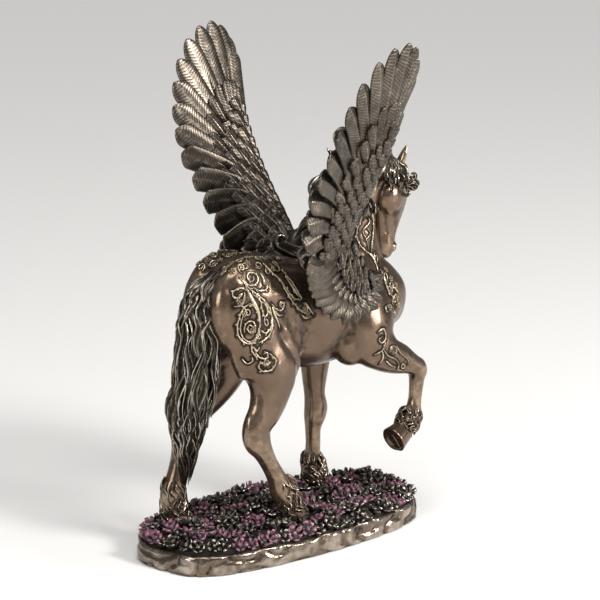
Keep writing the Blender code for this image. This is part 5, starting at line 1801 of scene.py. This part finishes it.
def rubbed_metal_group():
    """Dark wax in the recesses, which on the feathers also stands for painted shade, metal on the flats and a
    bright rub on the ridges, all uneven.
    """
    name = "rubbed_metal"
    if name in bpy.data.node_groups:
        return bpy.data.node_groups[name]
    tree = bpy.data.node_groups.new(name, "ShaderNodeTree")
    for label, kind, default in (
        ("Metal", "NodeSocketColor", (0.2, 0.13, 0.08, 1)),
        ("Recess", "NodeSocketColor", (0.02, 0.015, 0.01, 1)),
        ("Rub", "NodeSocketColor", (0.5, 0.4, 0.3, 1)),
        ("Relief", "NodeSocketFloat", 0.5),
        ("Tint", "NodeSocketFloat", 0.5),
        ("Recess to", "NodeSocketFloat", 0.40),
        ("Rub from", "NodeSocketFloat", 0.62),
        ("Rub amount", "NodeSocketFloat", 0.7),
        ("Mottle", "NodeSocketFloat", 0.3),
        ("Smoothness", "NodeSocketFloat", 0.36),
    ):
        socket = tree.interface.new_socket(name=label, in_out="INPUT", socket_type=kind)
        socket.default_value = default
    for label in ("Colour", "Roughness", "Height"):
        kind = "NodeSocketColor" if label == "Colour" else "NodeSocketFloat"
        tree.interface.new_socket(name=label, in_out="OUTPUT", socket_type=kind)
    given = tree.nodes.new("NodeGroupInput").outputs
    place_at = node(tree, "ShaderNodeTexCoord").outputs["Object"]

    def cloud(scale, detail, rough=0.55):
        made = node(tree, "ShaderNodeTexNoise", Vector=place_at, Scale=scale, Detail=detail, Roughness=rough)
        return made.outputs[0]

    broad, small, fine = cloud(48.0, 4.0), cloud(330.0, 5.0, 0.6), cloud(1900.0, 3.0)
    shift = from_half(tree, broad, 0.35, from_half(tree, small, 0.55, given["Relief"]))
    low = calc(tree, "SUBTRACT", given["Recess to"], 0.30)
    deep = ramp(tree, shift, low, given["Recess to"], 1.0, 0.0)
    high = calc(tree, "ADD", given["Rub from"], 0.34)
    lit = calc(tree, "MULTIPLY", ramp(tree, shift, given["Rub from"], high), given["Rub amount"])
    shade = from_half(tree, fine, 0.12, from_half(tree, broad, given["Mottle"], 1.0))
    shade = from_half(tree, given["Tint"], 0.35, shade)
    grey = node(tree, "ShaderNodeCombineColor", i0=shade, i1=shade, i2=shade).outputs[0]
    colour = blend_colour(tree, 1.0, given["Metal"], grey, "MULTIPLY")
    colour = blend_colour(tree, lit, colour, given["Rub"])
    colour = blend_colour(tree, deep, colour, given["Recess"])
    rough = calc(tree, "MULTIPLY_ADD", deep, 0.28, given["Smoothness"])
    rough = from_half(tree, small, 0.22, rough)
    rough = calc(tree, "MULTIPLY_ADD", lit, -0.06, rough)
    height = calc(tree, "MULTIPLY_ADD", small, 0.6, calc(tree, "MULTIPLY", fine, 0.4))
    node(tree, "NodeGroupOutput", Colour=colour, Roughness=rough, Height=height)
    return tree


def rubbed_material(name, metal, recess, grain, strength, levels):
    """A new material on the rubbed metal group: itself, its nodes, its shader and the group."""
    material = bpy.data.materials.new(name)
    material.use_nodes = True
    tree = material.node_tree
    shader = tree.nodes["Principled BSDF"]
    group = tree.nodes.new("ShaderNodeGroup")
    group.node_tree = rubbed_metal_group()
    group.inputs["Metal"].default_value = metal
    group.inputs["Recess"].default_value = recess
    for label, value in levels.items():
        group.inputs[label.replace("_", " ")].default_value = value
    tree.links.new(group.outputs["Colour"], shader.inputs["Base Color"])
    tree.links.new(group.outputs["Roughness"], shader.inputs["Roughness"])
    bump = node(tree, "ShaderNodeBump", Height=group.outputs["Height"], Distance=grain, Strength=strength)
    tree.links.new(bump.outputs[0], shader.inputs["Normal"])
    return material, tree, shader, group


def mark(tree, label):
    """One of the values that the mesh carries on its points."""
    return node(tree, "ShaderNodeAttribute", attribute_name=label).outputs["Fac"]


def metal_finish(name, metal, recess, rub, metallic=0.85, **levels):
    """A bronze finish on the rubbed metal group, with its own colours and levels."""
    if name in bpy.data.materials:
        return bpy.data.materials[name]
    material, tree, shader, group = rubbed_material(name, metal, recess, 0.00006, 0.9, levels)
    group.inputs["Rub"].default_value = rub
    tree.links.new(mark(tree, "relief"), group.inputs["Relief"])
    tree.links.new(mark(tree, "tint"), group.inputs["Tint"])
    shader.inputs["Metallic"].default_value = metallic
    return material


def body_finish(ink):
    return metal_finish("polished_bronze", ink.bronze, (0.022, 0.015, 0.011, 1), (0.40, 0.30, 0.21, 1),
                        Recess_to=0.42, Rub_from=0.53, Rub_amount=0.75, Mottle=1.0, Smoothness=0.23)


def wing_finish(ink):
    # its recess colour is dark wax, and at the feathers' roots and the low inner faces also painted shade
    return metal_finish("feather_bronze", ink.dark_bronze, (0.012, 0.009, 0.007, 1), (0.38, 0.33, 0.265, 1),
                        Recess_to=0.55, Rub_from=0.66, Rub_amount=0.80, Mottle=1.0, Smoothness=0.34)


def hair_finish(ink):
    return metal_finish("hair_bronze", ink.dark_bronze, (0.010, 0.008, 0.006, 1), (0.72, 0.65, 0.54, 1),
                        Recess_to=0.54, Rub_from=0.62, Rub_amount=0.9, Mottle=0.7, Smoothness=0.25)


def fetlock_finish(ink):
    return metal_finish("fetlock_bronze", ink.bronze, (0.014, 0.010, 0.008, 1), (0.66, 0.58, 0.47, 1),
                        Recess_to=0.58, Rub_from=0.64, Rub_amount=0.9, Mottle=0.7, Smoothness=0.26)


def gold_finish(ink):
    return metal_finish("scroll_gold", ink.gold, (0.030, 0.022, 0.015, 1), (0.66, 0.55, 0.39, 1),
                        Recess_to=0.58, Rub_from=0.66, Rub_amount=0.75, Mottle=0.8, Smoothness=0.30)


def rim_finish(ink):
    return metal_finish("rim_bronze", (0.170, 0.130, 0.098, 1), ink.recess, (0.46, 0.40, 0.33, 1),
                        Recess_to=0.52, Rub_from=0.60, Rub_amount=0.9, Mottle=0.9, Smoothness=0.20)


def leaf_finish(ink):
    return metal_finish("leaf_bronze", (0.055, 0.050, 0.042, 1), ink.recess, (0.34, 0.30, 0.26, 1), 0.6,
                        Recess_to=0.50, Rub_from=0.72, Rub_amount=0.6, Mottle=0.5, Smoothness=0.42)


def blossom_finish(ink):
    """Dark bronze flowers, with rose paint brushed on the petals of most of them."""
    levels = {"Recess_to": 0.46, "Rub_from": 0.68, "Rub_amount": 0.95, "Mottle": 0.6, "Smoothness": 0.34}
    material, tree, shader, group = rubbed_material(
        "brushed_blossom", (0.034, 0.028, 0.025, 1), (0.010, 0.008, 0.008, 1), 0.00005, 0.8, levels,
    )
    painted = ramp(tree, mark(tree, "tint"), 0.60, 0.72)
    rub = blend_colour(tree, painted, (0.46, 0.40, 0.34, 1), ink.blossom)
    tree.links.new(rub, group.inputs["Rub"])
    relief = calc(tree, "MULTIPLY_ADD", painted, 0.20, mark(tree, "relief"))
    tree.links.new(relief, group.inputs["Relief"])
    tree.links.new(calc(tree, "MULTIPLY_ADD", painted, -0.65, 0.85), shader.inputs["Metallic"])
    return material


# Stage


def plain_finish(name, colour):
    material = bpy.data.materials.new(name)
    material.use_nodes = True
    shader = material.node_tree.nodes["Principled BSDF"]
    shader.inputs["Base Color"].default_value = colour
    shader.inputs["Roughness"].default_value = 0.9
    shader.inputs["Specular IOR Level"].default_value = 0.1
    return material


def aim(item, place, target):
    item.location = place
    item.rotation_mode = "QUATERNION"
    item.rotation_quaternion = (Vector(target) - Vector(place)).to_track_quat("-Z", "Y")


def soft_light(name, place, size, power):
    lamp = bpy.data.lights.new(name, "AREA")
    lamp.shape = "DISK"
    lamp.size = size
    lamp.energy = power
    item = bpy.data.objects.new(name, lamp)
    bpy.context.scene.collection.objects.link(item)
    aim(item, place, (0, 0, 0.12))


def make_stage(ink):
    """A pale floor under an even sky, soft lights, and a wide sun for soft shadows."""
    bpy.ops.mesh.primitive_circle_add(vertices=96, radius=FLOOR_RADIUS, fill_type="NGON", location=(0, 0, 0))
    floor = bpy.context.active_object
    floor.name = "floor"
    floor.data.materials.append(plain_finish("pale_floor", ink.backdrop))

    world = bpy.data.worlds.new("studio")
    bpy.context.scene.world = world
    world.use_nodes = True
    tree = world.node_tree
    background = tree.nodes["Background"]
    background.inputs["Color"].default_value = (1, 1, 1, 1)
    path = tree.nodes.new("ShaderNodeLightPath")
    seen = calc(tree, "MAXIMUM", path.outputs["Is Camera Ray"], 0.0)
    level = calc(tree, "MULTIPLY_ADD", seen, SKY_SEEN - SKY_LIGHT, SKY_LIGHT)
    tree.links.new(level, background.inputs["Strength"])

    for light in SOFT_LIGHTS:
        soft_light(*light)
    sun = bpy.data.lights.new("even_light", "SUN")
    sun.energy, sun.angle = SUN_POWER, SUN_SPREAD
    item = bpy.data.objects.new("even_light", sun)
    bpy.context.scene.collection.objects.link(item)
    aim(item, SUN_PLACE, (0, 0, 0))


def make_camera():
    """The photograph's camera, placed so that the figurine's origin falls on its pixel."""
    flat = math.cos(CAMERA_RISE)
    back = Vector((math.sin(CAMERA_TURN) * flat, -math.cos(CAMERA_TURN) * flat, math.sin(CAMERA_RISE)))
    right = Vector((math.cos(CAMERA_TURN), math.sin(CAMERA_TURN), 0))
    up = back.cross(right)
    across = (ORIGIN_ACROSS - PICTURE_WIDTH / 2) / FOCAL
    down = (ORIGIN_DOWN - PICTURE_WIDTH / 2) / FOCAL
    ray = right * across - up * down - back
    lens = bpy.data.cameras.new("photo_camera")
    lens.sensor_width = SENSOR_WIDTH
    lens.lens = FOCAL * SENSOR_WIDTH / PICTURE_WIDTH
    lens.clip_start, lens.clip_end = 0.05, 50
    camera = bpy.data.objects.new("photo_camera", lens)
    bpy.context.scene.collection.objects.link(camera)
    camera.location = -ray * ORIGIN_DEPTH
    camera.rotation_mode = "QUATERNION"
    camera.rotation_quaternion = (-back).to_track_quat("-Z", "Y")
    bpy.context.scene.camera = camera


# Operators


def told(context):
    """The scene's settings of the figurine."""
    scene = context.scene
    return scene.pegasus_feathers, scene.pegasus_hair, scene.pegasus_flowers, scene.pegasus_finishes


class PEGASUS_OT_horse(bpy.types.Operator):
    """Sculpt the horse's body, legs and neck as one skin"""

    bl_idname = "pegasus.horse"
    bl_label = "Horse body"

    def execute(self, context):
        finishes = told(context)[3]
        body = skin_of(make_body_clay(), "horse_body", BODY_CELL, BODY_ROUNDS)
        sculpt(body.data, BODY_STROKES)
        hollow_mask(body.data, 70)
        body.data.materials.append(body_finish(finishes))
        dress(body)
        dress(make_scrollwork(body, [gold_finish(finishes)]))
        return {"FINISHED"}


class PEGASUS_OT_head(bpy.types.Operator):
    """Sculpt the head with its ears, and set the eyes"""

    bl_idname = "pegasus.head"
    bl_label = "Head"

    def execute(self, context):
        finishes = told(context)[3]
        head = skin_of(make_head_clay(), "head", HEAD_CELL, HEAD_ROUNDS)
        sculpt(head.data, head_strokes())
        hollow_mask(head.data, 40)
        head.data.materials.append(body_finish(finishes))
        dress(head)
        dress(make_eyes([wing_finish(finishes)]))
        return {"FINISHED"}


class PEGASUS_OT_hooves(bpy.types.Operator):
    """Make the four hooves and the locks over them"""

    bl_idname = "pegasus.hooves"
    bl_label = "Hooves"

    def execute(self, context):
        _, hair, _, finishes = told(context)
        dress(make_hooves([body_finish(finishes)]))
        dress(make_hoof_hair(hair, [fetlock_finish(finishes)]))
        return {"FINISHED"}


class PEGASUS_OT_wings(bpy.types.Operator):
    """Lay the feathers of both wings"""

    bl_idname = "pegasus.wings"
    bl_label = "Wings"

    def execute(self, context):
        feathers, _, _, finishes = told(context)
        for side, name in ((LEFT, "wing_left"), (RIGHT, "wing_right")):
            dress(make_wing(side, name, [wing_finish(finishes)], feathers))
        return {"FINISHED"}


class PEGASUS_OT_shoulder_feathers(bpy.types.Operator):
    """Lay the feathers that wrap the shoulders"""

    bl_idname = "pegasus.shoulder_feathers"
    bl_label = "Shoulder feathers"

    def execute(self, context):
        feathers, _, _, finishes = told(context)
        for side, name in ((LEFT, "shoulder_feathers_left"), (RIGHT, "shoulder_feathers_right")):
            dress(make_cape(side, name, [wing_finish(finishes)], feathers))
        return {"FINISHED"}


class PEGASUS_OT_hair(bpy.types.Operator):
    """Comb the tail, the mane and the forelock"""

    bl_idname = "pegasus.hair"
    bl_label = "Tail, mane and forelock"

    def execute(self, context):
        _, hair, _, finishes = told(context)
        for make in (make_tail, make_mane, make_forelock):
            dress(make(hair, [hair_finish(finishes)]))
        return {"FINISHED"}


class PEGASUS_OT_base(bpy.types.Operator):
    """Carve the base's rim, and plant its flowers and leaves"""

    bl_idname = "pegasus.base"
    bl_label = "Base and flowers"

    def execute(self, context):
        _, _, flowers, finishes = told(context)
        dress(make_rim([rim_finish(finishes)]))
        dress(make_bed([leaf_finish(finishes)]))
        dress(make_blossoms(flowers, [blossom_finish(finishes)]))
        dress(make_leaves(flowers, [leaf_finish(finishes)]))
        return {"FINISHED"}


class PEGASUS_OT_stage(bpy.types.Operator):
    """Set the pale floor, the soft lights and the camera"""

    bl_idname = "pegasus.stage"
    bl_label = "Floor, lights and camera"

    def execute(self, context):
        make_stage(told(context)[3])
        make_camera()
        context.scene.view_settings.view_transform = "Standard"
        return {"FINISHED"}


OPERATORS = (
    PEGASUS_OT_horse,
    PEGASUS_OT_head,
    PEGASUS_OT_hooves,
    PEGASUS_OT_wings,
    PEGASUS_OT_shoulder_feathers,
    PEGASUS_OT_hair,
    PEGASUS_OT_base,
    PEGASUS_OT_stage,
)
SETTINGS = (
    ("pegasus_feathers", FeatherSizes),
    ("pegasus_hair", HairSizes),
    ("pegasus_flowers", FlowerSizes),
    ("pegasus_finishes", Finishes),
)


class PEGASUS_PT_maker(bpy.types.Panel):
    """Lists the figurine's steps and settings"""

    bl_idname = "PEGASUS_PT_maker"
    bl_label = "Pegasus figurine"
    bl_space_type = "VIEW_3D"
    bl_region_type = "UI"
    bl_category = "Pegasus"

    def draw(self, context):
        for name, group in SETTINGS:
            box = self.layout.box()
            settings = getattr(context.scene, name)
            for label in group.__annotations__:
                box.prop(settings, label)
        for kind in OPERATORS:
            self.layout.operator(kind.bl_idname)


def register():
    for name, group in SETTINGS:
        bpy.utils.register_class(group)
        setattr(bpy.types.Scene, name, bpy.props.PointerProperty(type=group))
    for kind in OPERATORS + (PEGASUS_PT_maker,):
        bpy.utils.register_class(kind)


def unregister():
    for kind in (PEGASUS_PT_maker,) + OPERATORS[::-1]:
        bpy.utils.unregister_class(kind)
    for name, group in SETTINGS[::-1]:
        delattr(bpy.types.Scene, name)
        bpy.utils.unregister_class(group)


def main():
    register()
    bpy.ops.object.select_all(action="DESELECT")
    bpy.ops.pegasus.horse()
    bpy.ops.pegasus.head()
    bpy.ops.pegasus.hooves()
    bpy.ops.pegasus.wings()
    bpy.ops.pegasus.shoulder_feathers()
    bpy.ops.pegasus.hair()
    bpy.ops.pegasus.base()
    bpy.ops.pegasus.stage()


if __name__ == "__main__":
    main()
